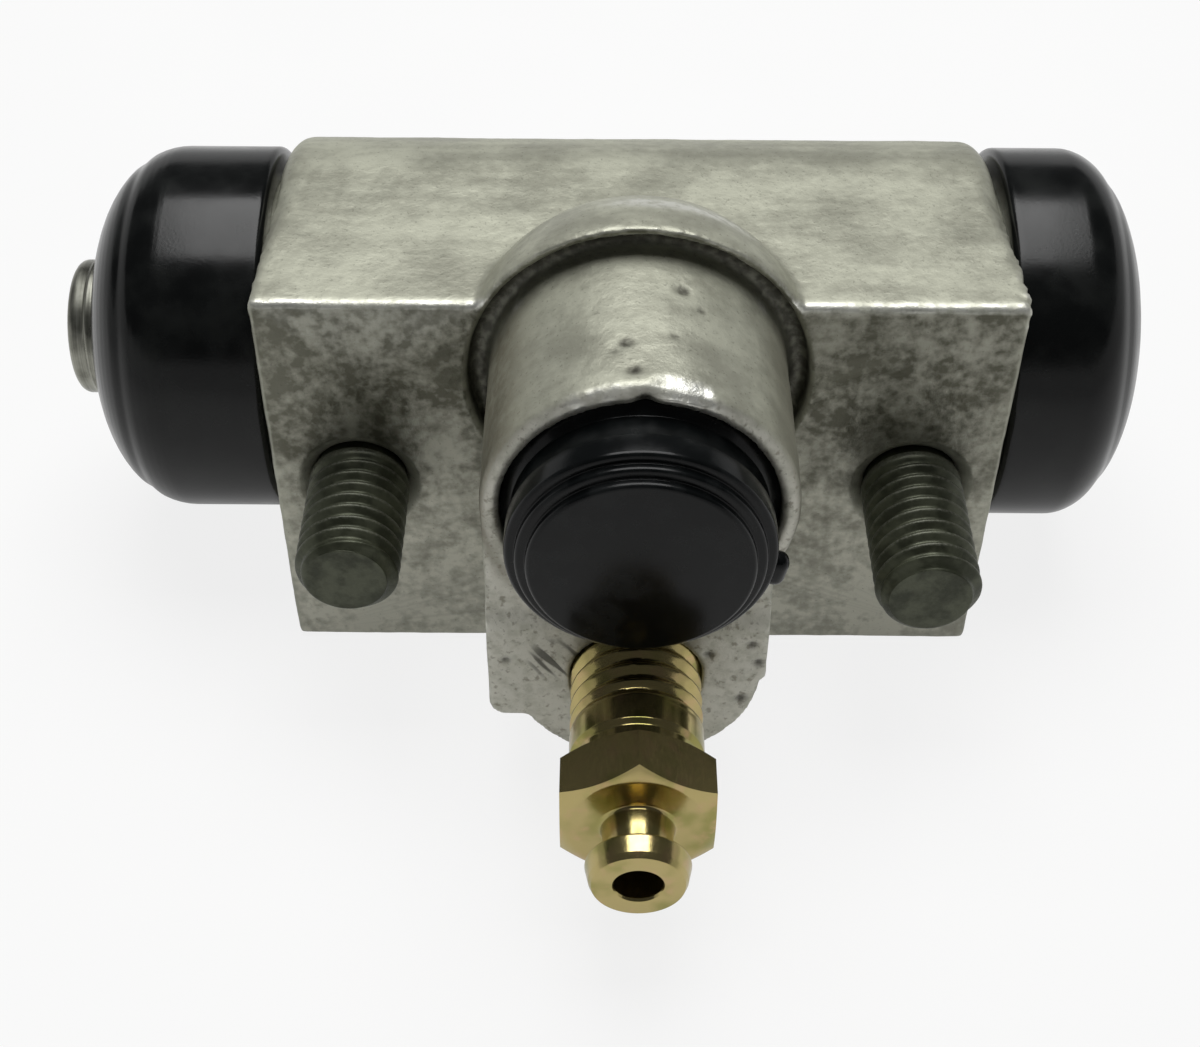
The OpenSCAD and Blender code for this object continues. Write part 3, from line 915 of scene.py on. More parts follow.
class SpringWinder(NodeGroup):
    """Winds round wire into part of a coil spring that lies along X."""

    POINTS_PER_TURN = 28

    def __init__(self) -> None:
        """Builds the tree."""
        names = ("From Turn", "To Turn", "Active Turns", "End Pitch", "Pitch", "Mean Radius",
                 "Wire Radius", "Start X", "Axis Y", "Axis Z")
        super().__init__("spring_winder", names)
        first = self.size("From Turn")
        turns = self.math("SUBTRACT", self.size("To Turn"), first)
        count = self.math("ADD", self.math("MULTIPLY", turns, float(self.POINTS_PER_TURN)), 1.0)
        whole = self.add("FunctionNodeFloatToInt", {0: count}, rounding_mode="ROUND")
        line = self.add("GeometryNodeMeshLine", {"Count": whole.outputs[0]})
        number = self.add("GeometryNodeInputIndex")
        turn = self.math("ADD", first, self.math("DIVIDE", number.outputs[0], float(self.POINTS_PER_TURN)))
        active = self.size("Active Turns")
        lead = self.math("MINIMUM", turn, 1.0)
        climb = self.math("MINIMUM", self.math("MAXIMUM", self.math("SUBTRACT", turn, 1.0), 0.0), active)
        tail = self.math("MAXIMUM", self.math("SUBTRACT", turn, 1.0, active), 0.0)
        dead = self.math("MULTIPLY", self.math("ADD", lead, tail), self.size("End Pitch"))
        way = self.math("ADD", dead, self.math("MULTIPLY", climb, self.size("Pitch")))
        angle = self.math("MULTIPLY", turn, FULL_TURN)
        mean = self.size("Mean Radius")
        swing = self.math("MULTIPLY", self.math("COSINE", angle), mean)
        lift = self.math("MULTIPLY", self.math("SINE", angle), mean)
        place = self.add("ShaderNodeCombineXYZ", {
            0: self.math("ADD", self.size("Start X"), way),
            1: self.math("ADD", self.size("Axis Y"), swing),
            2: self.math("ADD", self.size("Axis Z"), lift),
        })
        helix = self.add(
            "GeometryNodeSetPosition", {"Geometry": line.outputs[0], "Position": place.outputs[0]}
        )
        path = self.add("GeometryNodeMeshToCurve", {0: helix.outputs[0]})
        section = self.add(
            "GeometryNodeCurvePrimitiveCircle", {"Resolution": 12, "Radius": self.size("Wire Radius")}
        )
        wire = self.add("GeometryNodeCurveToMesh", {
            "Curve": path.outputs[0], "Profile Curve": section.outputs[0], "Fill Caps": True,
        })
        smooth = self.add("GeometryNodeSetShadeSmooth", {0: wire.outputs[0]})
        self.close(smooth.outputs[0])


@dataclass(frozen=True)
class Bore:
    """Round hole in the casting.

    Attributes:
        axis: Line through its middle.
        radius: Radius of its wall, in mm.
        start: Where the wall starts along the line, in mm.
        end: Where it ends, in mm.
    """

    axis: TurningAxis
    radius: float
    start: float
    end: float


def forward_axis(height: float, x: float = 0.0) -> TurningAxis:
    """Axis that points out of the mounting face, at a height above the stud line and a place along X."""
    return TurningAxis((x, 0.0, height), (0.0, -1.0, 0.0), (1.0, 0.0, 0.0))


@dataclass
class Casting:
    """Housing: the cast body with its boss, tongue and spigots, with soft edges, ripples, burrs and pits."""

    shop: Workshop
    face_top: float = 17.9
    bore_r: float = 9.525
    spigot_end: float = 34.2
    boss_r: float = 11.3
    groove_r: float = 12.9
    groove_depth: float = 1.6
    recess_r: float = 9.9
    recess_floor: float = 2.0
    inlet_r: float = 4.6
    inlet_len: float = 8.0
    bleeder_r: float = 5.0
    step_z: float = 2.1
    stud_hole_r: float = 3.75
    stud_seat: float = 6.0
    countersink: float = 0.9
    PITS: ClassVar[tuple] = (
        (-1.1, -9.7, 22.2, 0.6, 0.12), (-0.6, -12.6, 22.25, 0.6, 0.12), (2.9, -3.4, 21.9, 0.6, 0.16),
        (-1.9, -10.5, 22.1, 0.3, 0.06), (2.2, -8.8, 22.1, 0.3, 0.08), (4.2, -5.2, 21.5, 0.35, 0.1),
        (5.4, -15.5, -2.8, 0.4, 0.2), (8.6, -15.5, -1.7, 0.4, 0.2), (9.2, -15.5, -3.7, 0.45, 0.2),
        (8.1, -15.5, -7.8, 0.5, 0.2), (-9.8, -15.5, -3.6, 0.4, 0.16), (0.15, -14.8, 21.2, 0.7, 0.45),
    )
    CHIPS: ClassVar[tuple] = (
        (1.9, 21.4, 0.7), (3.2, 21.0, 0.8), (-4.5, 20.6, 0.6), (4.6, 20.4, 0.5), (-2.2, 21.2, 0.4),
    )

    voxel: float = 0.28
    edge_rounds: int = 3
    inset: float = 0.001
    most_triangles: int = 185000
    ripple: float = 0.05
    ripple_size: float = 3.1
    grain: float = 0.02
    grain_size: float = 0.9
    burr: float = 0.30
    burr_size: float = 0.75
    left_burr: float = 0.35
    wall_slack: float = 0.3
    ease_len: float = 2.8
    lip_slope: float = 0.28

    def bores(self) -> list[Bore]:
        """Lists the holes whose walls stay true."""
        along = TurningAxis((0.0, BORE_DEPTH, BORE_LIFT), (1.0, 0.0, 0.0), (0.0, 1.0, 0.0))
        boss = forward_axis(BOSS_Z)
        tongue = forward_axis(-BLEEDER_DROP)
        studs = [forward_axis(0.0, side.value * STUD_X) for side in Side]
        return [
            Bore(along, self.bore_r, 0.6 - self.spigot_end, self.spigot_end - 0.6),
            Bore(boss, self.recess_r, self.recess_floor + 0.4, BOSS_LEN - 0.4),
            Bore(boss, self.inlet_r, self.recess_floor - self.inlet_len + 0.4, self.recess_floor - 0.4),
            Bore(tongue, self.bleeder_r, -0.8, TONGUE_LEN - 0.4),
            *[Bore(axis, self.stud_hole_r, 0.4 - self.stud_seat, -self.countersink - 0.2) for axis in studs],
        ]

    def remeshed(self) -> Object:
        """Copies the CAD node as even small faces, in mm, so that its edges can soften."""
        work = bmesh.new()
        work.from_mesh(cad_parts["housing"].data)
        bmesh.ops.remove_doubles(work, verts=work.verts, dist=1e-7)
        bmesh.ops.scale(work, verts=work.verts, vec=(1 / MM,) * 3)
        piece = linked("housing_casting", work)
        voxels = piece.modifiers.new("voxels", "REMESH")
        voxels.mode = "VOXEL"
        voxels.voxel_size = self.voxel
        apply_modifiers(piece)
        return piece

    def in_bore(self, points: np.ndarray, bore: Bore, slack: float) -> tuple[np.ndarray, np.ndarray]:
        """Finds the points on the wall of a hole.

        Args:
            points: Points in mm.
            bore: The hole.
            slack: How far from the wall a point may be.

        Returns:
            Which points are on the wall, and the way from the hole's line to each point.
        """
        along = np.array(bore.axis.along)
        way = points - np.array(bore.axis.origin)
        distance = way @ along
        out = way - np.outer(distance, along)
        reach = np.linalg.norm(out, axis=1)
        on_wall = (np.abs(reach - bore.radius) < slack) & (distance > bore.start) & (distance < bore.end)
        return on_wall, out

    def true_walls(self, data: MeshData) -> np.ndarray:
        """Puts the walls of the holes and the mounting face back to size.

        Args:
            data: The mesh, in mm.

        Returns:
            Which points are on a machined wall.
        """
        machined = np.zeros(len(data.points), bool)
        for bore in self.bores():
            on_wall, out = self.in_bore(data.points, bore, self.wall_slack)
            reach = np.linalg.norm(out[on_wall], axis=1)
            data.points[on_wall] += out[on_wall] * (bore.radius / reach - 1)[:, None]
            machined |= on_wall
        flat = (np.abs(data.points[:, 1]) < 0.12) & (data.normals[:, 1] < -0.96)
        data.points[flat, 1] = 0.0
        return machined | flat

    def ease_step(self, data: MeshData) -> None:
        """Eases the step between the fronts of the tongue and the boss."""
        z = data.points[:, 2]
        foot = self.step_z - self.ease_len
        front = (data.points[:, 1] < 0.6 - BOSS_LEN) & (z > foot) & (z < self.step_z + 0.8)
        rise = (TONGUE_LEN - BOSS_LEN) * span(z[front], foot, self.step_z)
        data.points[front, 1] = np.maximum(data.points[front, 1], rise - TONGUE_LEN)

    def lip(self, points: np.ndarray) -> np.ndarray:
        """How far each point is onto the worn strip along the front of the boss's top, in mm."""
        x, y, z = points.T
        depth = 0.8 + 0.9 * span(x, 0.0, 1.5)
        along = span(x, -4.2, -3.0) * (1 - span(x, 3.8, 4.9)) * (z > BOSS_Z + 5.0)
        return along * np.maximum(depth - BOSS_LEN - y, 0.0)

    def wear_lip(self, data: MeshData) -> None:
        """Slopes the worn strip along the front of the boss's top."""
        ring = np.hypot(data.points[:, 0], data.points[:, 2] - BOSS_Z)
        outer = span(ring, self.recess_r + 0.5, self.boss_r - 0.2)
        data.points[:, 2] -= self.lip_slope * self.lip(data.points) * outer

    def roughen(self, data: MeshData, machined: np.ndarray) -> None:
        """Gives the cast skin its ripples, and the right end of the top its burrs.

        Args:
            data: The mesh, in mm.
            machined: Points that keep their place.
        """
        cast = np.flatnonzero(~machined)
        points = data.points[cast]
        lift = self.ripple * noise_at(points, self.ripple_size)
        lift += self.grain * noise_at(points, self.grain_size, (7, 3, 5))
        end = np.exp(-((np.abs(points[:, 0]) - BODY_HALF) / 0.7) ** 2)
        top = span(points[:, 2], self.face_top - 3.0, self.face_top - 0.5) * span(points[:, 1], 16.0, 9.0)
        chip = noise_at(points, self.burr_size, (2, 9, 4))
        side = np.where(points[:, 0] > 0, 1.0, self.left_burr)
        lift += self.burr * chip * end * top * side
        data.points[cast] += data.normals[cast] * lift[:, None]

    def pit(self, data: MeshData) -> None:
        """Sinks the small casting pits of the boss and the tongue."""
        for x, y, z, radius, depth in self.PITS:
            gap = np.linalg.norm(data.points - np.array([x, y, z]), axis=1)
            data.points -= data.normals * (depth * np.exp(-((gap / radius) ** 2)))[:, None]

    def build(self) -> None:
        """Builds the casting and lets it stand for the housing."""
        piece = self.remeshed()
        data = MeshData(piece.data)
        data.smooth(self.edge_rounds, 0.5)
        data.store_points()
        data = MeshData(piece.data)
        machined = self.true_walls(data)
        self.ease_step(data)
        self.wear_lip(data)
        self.roughen(data, machined)
        self.pit(data)
        data.store_points()
        triangles = sum(len(p.vertices) - 2 for p in piece.data.polygons)
        thin = piece.modifiers.new("thin", "DECIMATE")
        thin.ratio = min(1.0, self.most_triangles / triangles)
        apply_modifiers(piece)
        data = MeshData(piece.data)
        low, high = (np.array(corner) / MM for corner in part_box("housing"))
        data.points = np.clip(data.points, low + self.inset, high - self.inset)
        data.store_points()
        self.mark(piece)
        piece.data.transform(Matrix.Scale(MM, 4))
        piece.data.shade_smooth()
        take_finish(piece, self.shop.casting)
        stand_for(piece, Body.CYLINDER, "cast_aluminium", "housing")

    def mark(self, piece: Object) -> None:
        """Stores worn edges with painted highlights, painted shade with some dirt, the painted dark
        reflection on the boss's flanks, the forward faces that get painted light, and what is machined.

        Args:
            piece: The casting, in mm.
        """
        data = MeshData(piece.data)
        hollow = data.hollow()
        x, y, z = data.points.T
        ring = np.hypot(x, z - BOSS_Z)
        # a bright line is painted along the front-top edge
        front_edge = 1 - span(np.hypot(y, z - self.face_top), 0.25, 0.6)
        # relief groove mask, which is darkened below as painted shade
        groove = span(ring, self.boss_r, self.boss_r + 0.3) * span(y, 0.05, 0.6)
        groove *= 1 - span(ring, self.groove_r, self.groove_r + 0.3)
        groove *= 1 - span(y, self.groove_depth, self.groove_depth + 0.4)
        # painted highlight along the groove's outer lip at the top
        lip = (1 - span(np.abs(ring - self.groove_r), 0.15, 0.45)) * span(z, 20.0, 22.5) * span(x, -4.0, 0.0)
        wear_and_highlight = np.maximum.reduce([span(-hollow, 0.10, 0.34), front_edge, lip * span(-hollow, -0.05, 0.05)])
        # painted highlight on the sloped strip at the boss's mouth
        wear_and_highlight = np.maximum(wear_and_highlight, span(self.lip(data.points), 0.0, 0.3) * span(data.normals[:, 2], 0.5, 0.8))
        # painted shade: concave corners are darkened, except on the tongue's front
        shade_and_dirt = span(hollow, 0.07, 0.30) * span(y, 2.0 - BOSS_LEN, 3.0 - BOSS_LEN)
        # Painted shadow of the plug on the tongue above the bleeder, with an oil stain.
        hole = np.hypot(x, z + BLEEDER_DROP)
        arch = (1 - span(hole, 5.5, 7.3)) * span((z + BLEEDER_DROP) / hole, 0.5, 0.85)
        # forward faces of the tongue and boss, which get painted light
        front = span(-y, BOSS_LEN - 0.7, BOSS_LEN - 0.3) * span(-data.normals[:, 1], 0.4, 0.8)
        # adds the painted shade of the groove and the painted plug shadow to the corner shade
        shade_and_dirt = np.maximum.reduce([shade_and_dirt, 0.9 * groove, 0.8 * arch * front])
        for place_x, place_z, radius in self.CHIPS:
            gap = np.hypot(x - place_x, z - place_z)
            wear_and_highlight = np.maximum(wear_and_highlight, np.exp(-((gap / radius) ** 2)) * (y < 0.7 - BOSS_LEN))
        # pits are painted dark as painted shade, and their wear is taken off
        for place_x, place_y, place_z, radius, _ in self.PITS:
            gap = np.linalg.norm(data.points - np.array([place_x, place_y, place_z]), axis=1)
            shade_and_dirt = np.maximum(shade_and_dirt, 1 - span(gap, 0.6 * radius, 1.2 * radius))
            wear_and_highlight *= 1 - np.exp(-((gap / radius / 2) ** 2))
        # Painted dark reflection on the boss's flanks by the mounting face, darker on the left; it also
        # takes the wear off there.
        flank = (1 - span(np.abs(ring - self.boss_r), 0.2, 0.5)) * span(-y, -0.4, 0.4)
        stain_and_shade = flank * np.maximum(0.75 * span(-x, 6.5, 10.5), 0.45 * span(x, 8.0, 11.0))
        data.store("wear_and_highlight", wear_and_highlight * (1 - stain_and_shade), 1)
        # stores the painted shade and the painted plug shadow
        data.store("grime_and_shade", shade_and_dirt, 1)
        data.store("stain_and_shade", stain_and_shade, 1)
        data.store("front", front, 1)
        flat = (np.abs(y) < 0.1) & (data.normals[:, 1] < -0.9)
        data.store("machined", flat.astype(float), 1)


@dataclass
class MountingStuds:
    """Two threaded studs in the mounting face."""

    shop: Workshop
    cutter: ThreadCutter
    radius: float = 4.0
    shank_r: float = 3.7
    left_len: float = 10.7
    right_len: float = 12.3
    seat: float = 6.0
    chamfer: float = 0.8
    pitch: float = 1.25
    thread_depth: float = 0.5
    thread_start: float = 0.1
    thread_past: float = 0.4
    runout: float = 1.3
    step: float = 0.08

    def build(self) -> None:
        """Builds both studs."""
        for side in Side:
            self.build_one(side)

    def build_one(self, side: Side) -> None:
        """Turns one stud and cuts its thread.

        Args:
            side: Which stud.
        """
        x = side.value * STUD_X
        length = self.left_len if side is Side.LEFT else self.right_len
        tip_r = self.radius - self.chamfer
        shank = [(0.0, -self.seat), (self.shank_r - 0.3, -self.seat), (self.shank_r, 0.3 - self.seat)]
        wall = rounded([
            (self.shank_r, 0.0, 0.0), (self.radius, 0.02, 0.1), (self.radius, length - self.chamfer, 0.5),
            (tip_r, length, 0.4), (tip_r - 0.6, length, 0.0),
        ])
        profile = shank + densified(wall, self.step) + [(0.0, length)]
        name = f"{side.word}_stud_threaded"
        piece = revolve(name, forward_axis(0.0, x), profile, 112)
        self.cutter.apply(
            piece, self.shop.stud, Pitch=self.pitch * MM, Depth=self.thread_depth * MM,
            Start=self.thread_start * MM, End=(length + self.thread_past) * MM,
            Runout=self.runout * MM, Axis_X=x * MM, Axis_Z=0.0, Core_Radius=(tip_r - 0.05) * MM,
        )
        data = MeshData(piece.data)
        reach = np.hypot(data.points[:, 0] - x * MM, data.points[:, 2])
        # marks the thread crests for their painted highlight
        data.store("wear_and_highlight", span(reach / MM, self.radius - 0.12, self.radius))
        stand_for(piece, Body.CYLINDER, "phosphated_steel", f"{side.word}_stud")


@dataclass
class BleederScrew:
    """Bleeder screw with its thread, hexagon, hose bead and drilling."""

    shop: Workshop
    cutter: ThreadCutter
    radius: float = 4.95
    hole_depth: float = 1.0
    cone_r: float = 1.15
    thread_len: float = 7.9
    undercut: float = 1.7
    undercut_r: float = 4.65
    hex_af: float = 11.0
    hex_len: float = 4.3
    neck_r: float = 2.45
    neck_len: float = 2.7
    bead_r: float = 3.75
    bead_len: float = 2.2
    bleed_r: float = 1.7
    bleed_stop: float = 2.0
    cross_r: float = 0.9
    drill_len: float = 16.0
    cone_slope: float = 30.0
    bevel_slope: float = 30.0
    bevel: float = 0.25
    pitch: float = 1.5
    thread_depth: float = 0.5
    thread_sunk: float = 6.0
    thread_stop: float = 6.2
    runout: float = 1.8
    segments: int = 144

    @property
    def hex_from(self) -> float:
        """Where the hexagon starts, out from the mounting face."""
        return TONGUE_LEN + self.thread_len + self.undercut

    @property
    def hex_to(self) -> float:
        """Where the hexagon ends."""
        return self.hex_from + self.hex_len

    def shank(self) -> Path:
        """Stations from the seat cone to the hexagon."""
        cone = (self.radius - self.cone_r) / math.tan(math.radians(self.cone_slope))
        thread_end = TONGUE_LEN + self.thread_len
        seat = -self.hole_depth - cone
        wall = rounded([
            (self.cone_r, seat, 0.0), (self.radius, -self.hole_depth, 0.2), (self.radius, thread_end, 0.2),
            (self.undercut_r, thread_end + 0.4, 0.3), (self.undercut_r, self.hex_from, 0.0),
        ])
        return [(0.0, seat)] + densified(wall, 0.09)

    def nozzle(self) -> Path:
        """Stations from the hexagon over the hose bead to the bottom of the drilling."""
        bead = self.hex_to + self.neck_len
        end = bead + self.bead_len
        return rounded([
            (self.hex_af / 2 - 0.6, self.hex_to, 0.0), (self.neck_r + 0.15, self.hex_to, 0.35),
            (self.neck_r - 0.14, bead - 0.1, 0.25), (self.bead_r, bead + 0.45, 0.2),
            (self.bead_r - 0.28, bead + 1.75, 0.25), (self.bead_r - 0.5, end, 0.1),
            (self.bleed_r + 0.12, end, 0.08), (self.bleed_r, end - 0.2, 0.1),
            (self.bleed_r, self.bleed_stop, 0.0), (0.0, self.bleed_stop - 0.6, 0.0),
        ])

    def turned(self) -> Object:
        """Turns the screw, with the flats and bevels of its hexagon."""
        angles = np.arange(self.segments) * FULL_TURN / self.segments
        sector = FULL_TURN / 6
        turn = np.mod(angles - FULL_TURN / 4, sector)
        flats = self.hex_af / 2 / np.cos(turn - sector / 2)
        rim = self.hex_af / 2 - self.bevel
        bevel = (flats - rim) * math.tan(math.radians(self.bevel_slope))
        low, high = self.hex_from, self.hex_to
        nut = [(rim, low), (flats, low + bevel), (flats, high - bevel), (rim, high)]
        profile = self.shank() + nut + self.nozzle()
        return revolve("bleeder_screw_threaded", forward_axis(-BLEEDER_DROP), profile, self.segments)

    def build(self) -> None:
        """Turns the screw, cuts its thread and drills its cross hole."""
        piece = self.turned()
        self.cutter.apply(
            piece, self.shop.bleeder, Pitch=self.pitch * MM, Depth=self.thread_depth * MM,
            Start=(TONGUE_LEN - self.thread_sunk) * MM, End=(TONGUE_LEN + self.thread_stop) * MM,
            Runout=self.runout * MM, Axis_X=0.0, Axis_Z=-BLEEDER_DROP * MM,
            Core_Radius=(self.radius - 0.3) * MM,
        )
        piece.data.set_sharp_from_angle(angle=MOULDED_EDGE)
        self.drill(piece)
        take_finish(piece, self.shop.bleeder)
        stand_for(piece, Body.BLEEDER, "yellow_zinc", "bleeder_screw")

    def drill(self, piece: Object) -> None:
        """Drills the cross hole near the seat.

        Args:
            piece: The screw.
        """
        height = self.bleed_stop + self.cross_r
        start = (-self.drill_len / 2, -height, -BLEEDER_DROP)
        axis = TurningAxis(start, (1.0, 0.0, 0.0), (0.0, 1.0, 0.0))
        rod = [(0.0, 0.0), (self.cross_r, 0.0), (self.cross_r, self.drill_len), (0.0, self.drill_len)]
        combine(piece, revolve("drill", axis, rod, 24), "DIFFERENCE")


@dataclass
class PortPlug:
    """Moulded transit plug with a stepped head, a hollow skirt and a pull tab."""

    shop: Workshop
    skirt: float = 7.8
    skirt_r: float = 9.85
    neck_r: float = 9.05
    neck_len: float = 2.0
    wall: float = 1.4
    shoulder: float = 0.8
    flange_r: float = 9.4
    flange_t: float = 2.2
    step_r: float = 8.65
    face_r: float = 7.9
    face_h: float = 1.4
    tab_w: float = 2.6
    tab_reach: float = 1.0
    tab_root: float = 1.0
    tab_angle: float = -12.0

    def build(self) -> None:
        """Turns the plug and joins its tab."""
        low = BOSS_LEN - self.skirt
        neck_to = BOSS_LEN + self.neck_len
        flange_to = neck_to + self.flange_t
        face = flange_to + self.face_h
        inner = self.neck_r - self.wall
        profile = rounded([
            (0.0, face, 0.0), (self.face_r, face, 0.4), (self.face_r, flange_to + self.face_h / 2, 0.1),
            (self.step_r, flange_to + self.face_h / 2, 0.3), (self.step_r, flange_to, 0.1),
            (self.flange_r, flange_to, 0.6), (self.flange_r, neck_to, 0.45), (self.neck_r, neck_to, 0.2),
            (self.neck_r, BOSS_LEN, 0.2), (self.skirt_r, BOSS_LEN - self.shoulder, 0.3),
            (self.skirt_r, low + self.shoulder, 0.3), (self.skirt_r - self.shoulder / 2, low, 0.2),
            (inner, low, 0.2), (inner, neck_to, 0.4), (0.0, face - self.wall - self.face_h, 0.0),
        ])
        piece = revolve("port_plug_moulded", forward_axis(BOSS_Z), profile, 128)
        self.join_tab(piece, neck_to)
        take_finish(piece, self.shop.plastic)
        stand_for(piece, Body.PLUG, "black_plastic", "port_plug")

    def join_tab(self, piece: Object, start: float) -> None:
        """Joins the pull tab to the flange.

        Args:
            piece: The plug.
            start: Where the flange starts, along the boss, in mm.
        """
        length = self.tab_root + self.tab_reach
        thick = self.flange_t - 0.5
        work = bmesh.new()
        bmesh.ops.create_cube(work, size=1.0)
        bmesh.ops.scale(work, verts=work.verts, vec=(length, thick, self.tab_w))
        bmesh.ops.bevel(work, geom=work.edges[:], offset=0.75, segments=6, affect="EDGES", profile=0.5)
        middle = self.flange_r - self.tab_root + length / 2
        bmesh.ops.translate(work, verts=work.verts, vec=(middle, -start - self.flange_t / 2, 0.0))
        turn = Matrix.Rotation(-math.radians(self.tab_angle), 4, "Y")
        bmesh.ops.rotate(work, verts=work.verts, cent=(0, 0, 0), matrix=turn)
        bmesh.ops.translate(work, verts=work.verts, vec=(0.0, 0.0, BOSS_Z))
        bmesh.ops.scale(work, verts=work.verts, vec=(MM,) * 3)
        combine(piece, linked("tab", work), "UNION")
        piece.data.shade_smooth()
        piece.data.set_sharp_from_angle(angle=MOULDED_EDGE)


def end_axis(side: Side) -> TurningAxis:
    """Axis along the bore, outwards from one end of the body."""
    end = (side.value * BODY_HALF, BORE_DEPTH, BORE_LIFT)
    return TurningAxis(end, (float(side.value), 0.0, 0.0), (0.0, 0.0, 1.0))


def stretch_with(piece: Object, node: str) -> None:
    """Bakes a piece's placement into its mesh and lets it stand for a CAD node.

    Args:
        piece: The finished piece.
        node: CAD node that it replaces.
    """
    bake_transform(piece)
    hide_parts(node)
    LOG.info("built %s", piece.name)


@dataclass
class DustBoots:
    """Rubber boots between the spigots and the push rods."""

    shop: Workshop
    wall: float = 1.7
    gap: float = 0.7
    spigot_r: float = 12.8
    spigot_len: float = 5.4
    groove_r: float = 11.9
    groove_at: float = 1.8
    groove_w: float = 2.2
    clear: float = 0.1
    neck_r: float = 5.05
    left_r: float = 15.3
    left_side: float = 8.7
    left_crown_r: float = 5.6
    left_room_r: float = 6.2
    left_crown: float = 16.0
    left_grip: float = 14.2
    right_r: float = 15.6
    right_side: float = 6.6
    right_rise: float = 6.4
    right_dome_r: float = 3.5
    right_fold_r: float = 9.0
    right_crown: float = 9.8
    right_grip: float = 8.0
    pad_r: float = 7.6
    fold_spread: float = 1.2
    pad_spread: float = 0.9
    crease: float = 0.16
    crease_w: float = 0.5
    segments: int = 144
    left_crease: Pair = (12.1, 12.6)
    right_crease: Pair = (10.1, 12.0)

    def rim(self, radius: float) -> list[Corner]:
        """Corners of the bead that grips the spigot, from the outside in."""
        loose = self.spigot_r + self.clear
        grip = self.groove_r + self.clear
        near = self.groove_at + self.clear
        far = self.groove_at + self.groove_w - self.clear
        return [
            (radius, self.gap + 2.0, 0.0), (radius, self.gap, 0.6), (loose, self.gap, 0.2),
            (loose, near, 0.1), (grip, near, 0.25), (grip, far, 0.25), (loose, far, 0.1),
            (loose, self.spigot_len + self.clear, 0.2),
        ]

    @staticmethod
    def dome(middle: Pair, half_r: float, half_h: float, last_r: float) -> Path:
        """Part of an ellipse about a middle, from the straight wall up to a radius."""
        steps = 18
        last = math.acos((last_r - middle[0]) / half_r)
        angles = [last * step / steps for step in range(steps + 1)]
        return [(middle[0] + half_r * math.cos(a), middle[1] + half_h * math.sin(a)) for a in angles]

    def left_profile(self) -> Path:
        """Profile of the tall left boot."""
        bend = self.spigot_len + self.clear + self.wall / 2
        inner_r = self.left_r - self.wall
        rim = self.rim(self.left_r) + [(inner_r, bend, 0.6), (inner_r, bend + 1.0, 0.0)]
        inner = (self.left_room_r, self.left_side)
        outer = (self.left_crown_r, self.left_side)
        room = self.left_grip - self.left_side
        inside = self.dome(inner, inner_r - self.left_room_r, room, self.left_room_r)
        rise = self.left_crown - self.left_side
        outside = self.dome(outer, self.left_r - self.left_crown_r, rise, self.left_crown_r)
        lip = rounded([
            (*inside[-1], 0.0), (self.neck_r, self.left_grip, 0.3),
            (self.neck_r, self.left_crown, 0.3), (*outside[-1], 0.0),
        ], 5)
        return rounded(rim, 5) + inside[:-1] + lip + outside[-2::-1]

    def right_profile(self) -> Path:
        """Profile of the drawn-in right boot, whose dome dips around the rod."""
        middle = (self.right_dome_r, self.right_side)
        half_r = self.right_r - self.right_dome_r
        fold_in = self.right_fold_r + self.fold_spread
        inside = self.dome(middle, half_r - self.wall, self.right_rise - self.wall, fold_in)
        outside = self.dome(middle, half_r, self.right_rise, self.right_fold_r)
        rim = self.rim(self.right_r) + [(*inside[0], 0.0)]
        dip = rounded([
            (*inside[-3], 0.0), (*inside[-1], 0.5), (self.pad_r + self.pad_spread, self.right_grip, 0.6),
            (self.neck_r, self.right_grip, 0.3), (self.neck_r, self.right_crown, 0.4),
            (self.pad_r, self.right_crown, 0.9), (*outside[-1], 0.7), (*outside[-3], 0.0),
        ], 6)
        return rounded(rim, 5) + inside[1:-3] + dip + outside[-4::-1]

    def creased(self, profile: Sequence[Pair], at: float, radius: float) -> Path:
        """Presses the moulding crease into the outside of a profile.

        Args:
            profile: Radius and distance of each point.
            at: Distance of the crease.
            radius: Radius from which a point is on the outside.

        Returns:
            The profile with the crease.
        """
        out = []
        for r, s in densified(profile, 0.25):
            dip = self.crease * math.exp(-((s - at) / self.crease_w) ** 2) if r > radius else 0.0
            out.append((r - dip, s))
        return out

    def build(self) -> None:
        """Builds both boots."""
        shapes = (
            (Side.LEFT, self.creased(self.left_profile(), *self.left_crease), self.left_grip),
            (Side.RIGHT, self.creased(self.right_profile(), *self.right_crease), self.right_grip),
        )
        for side, profile, grip in shapes:
            axis = end_axis(side)
            piece = revolve(f"{side.word}_boot_rubber", axis, profile, self.segments, closed=True)
            take_finish(piece, self.shop.boot)
            stretch_with(piece, f"{side.word}_boot")


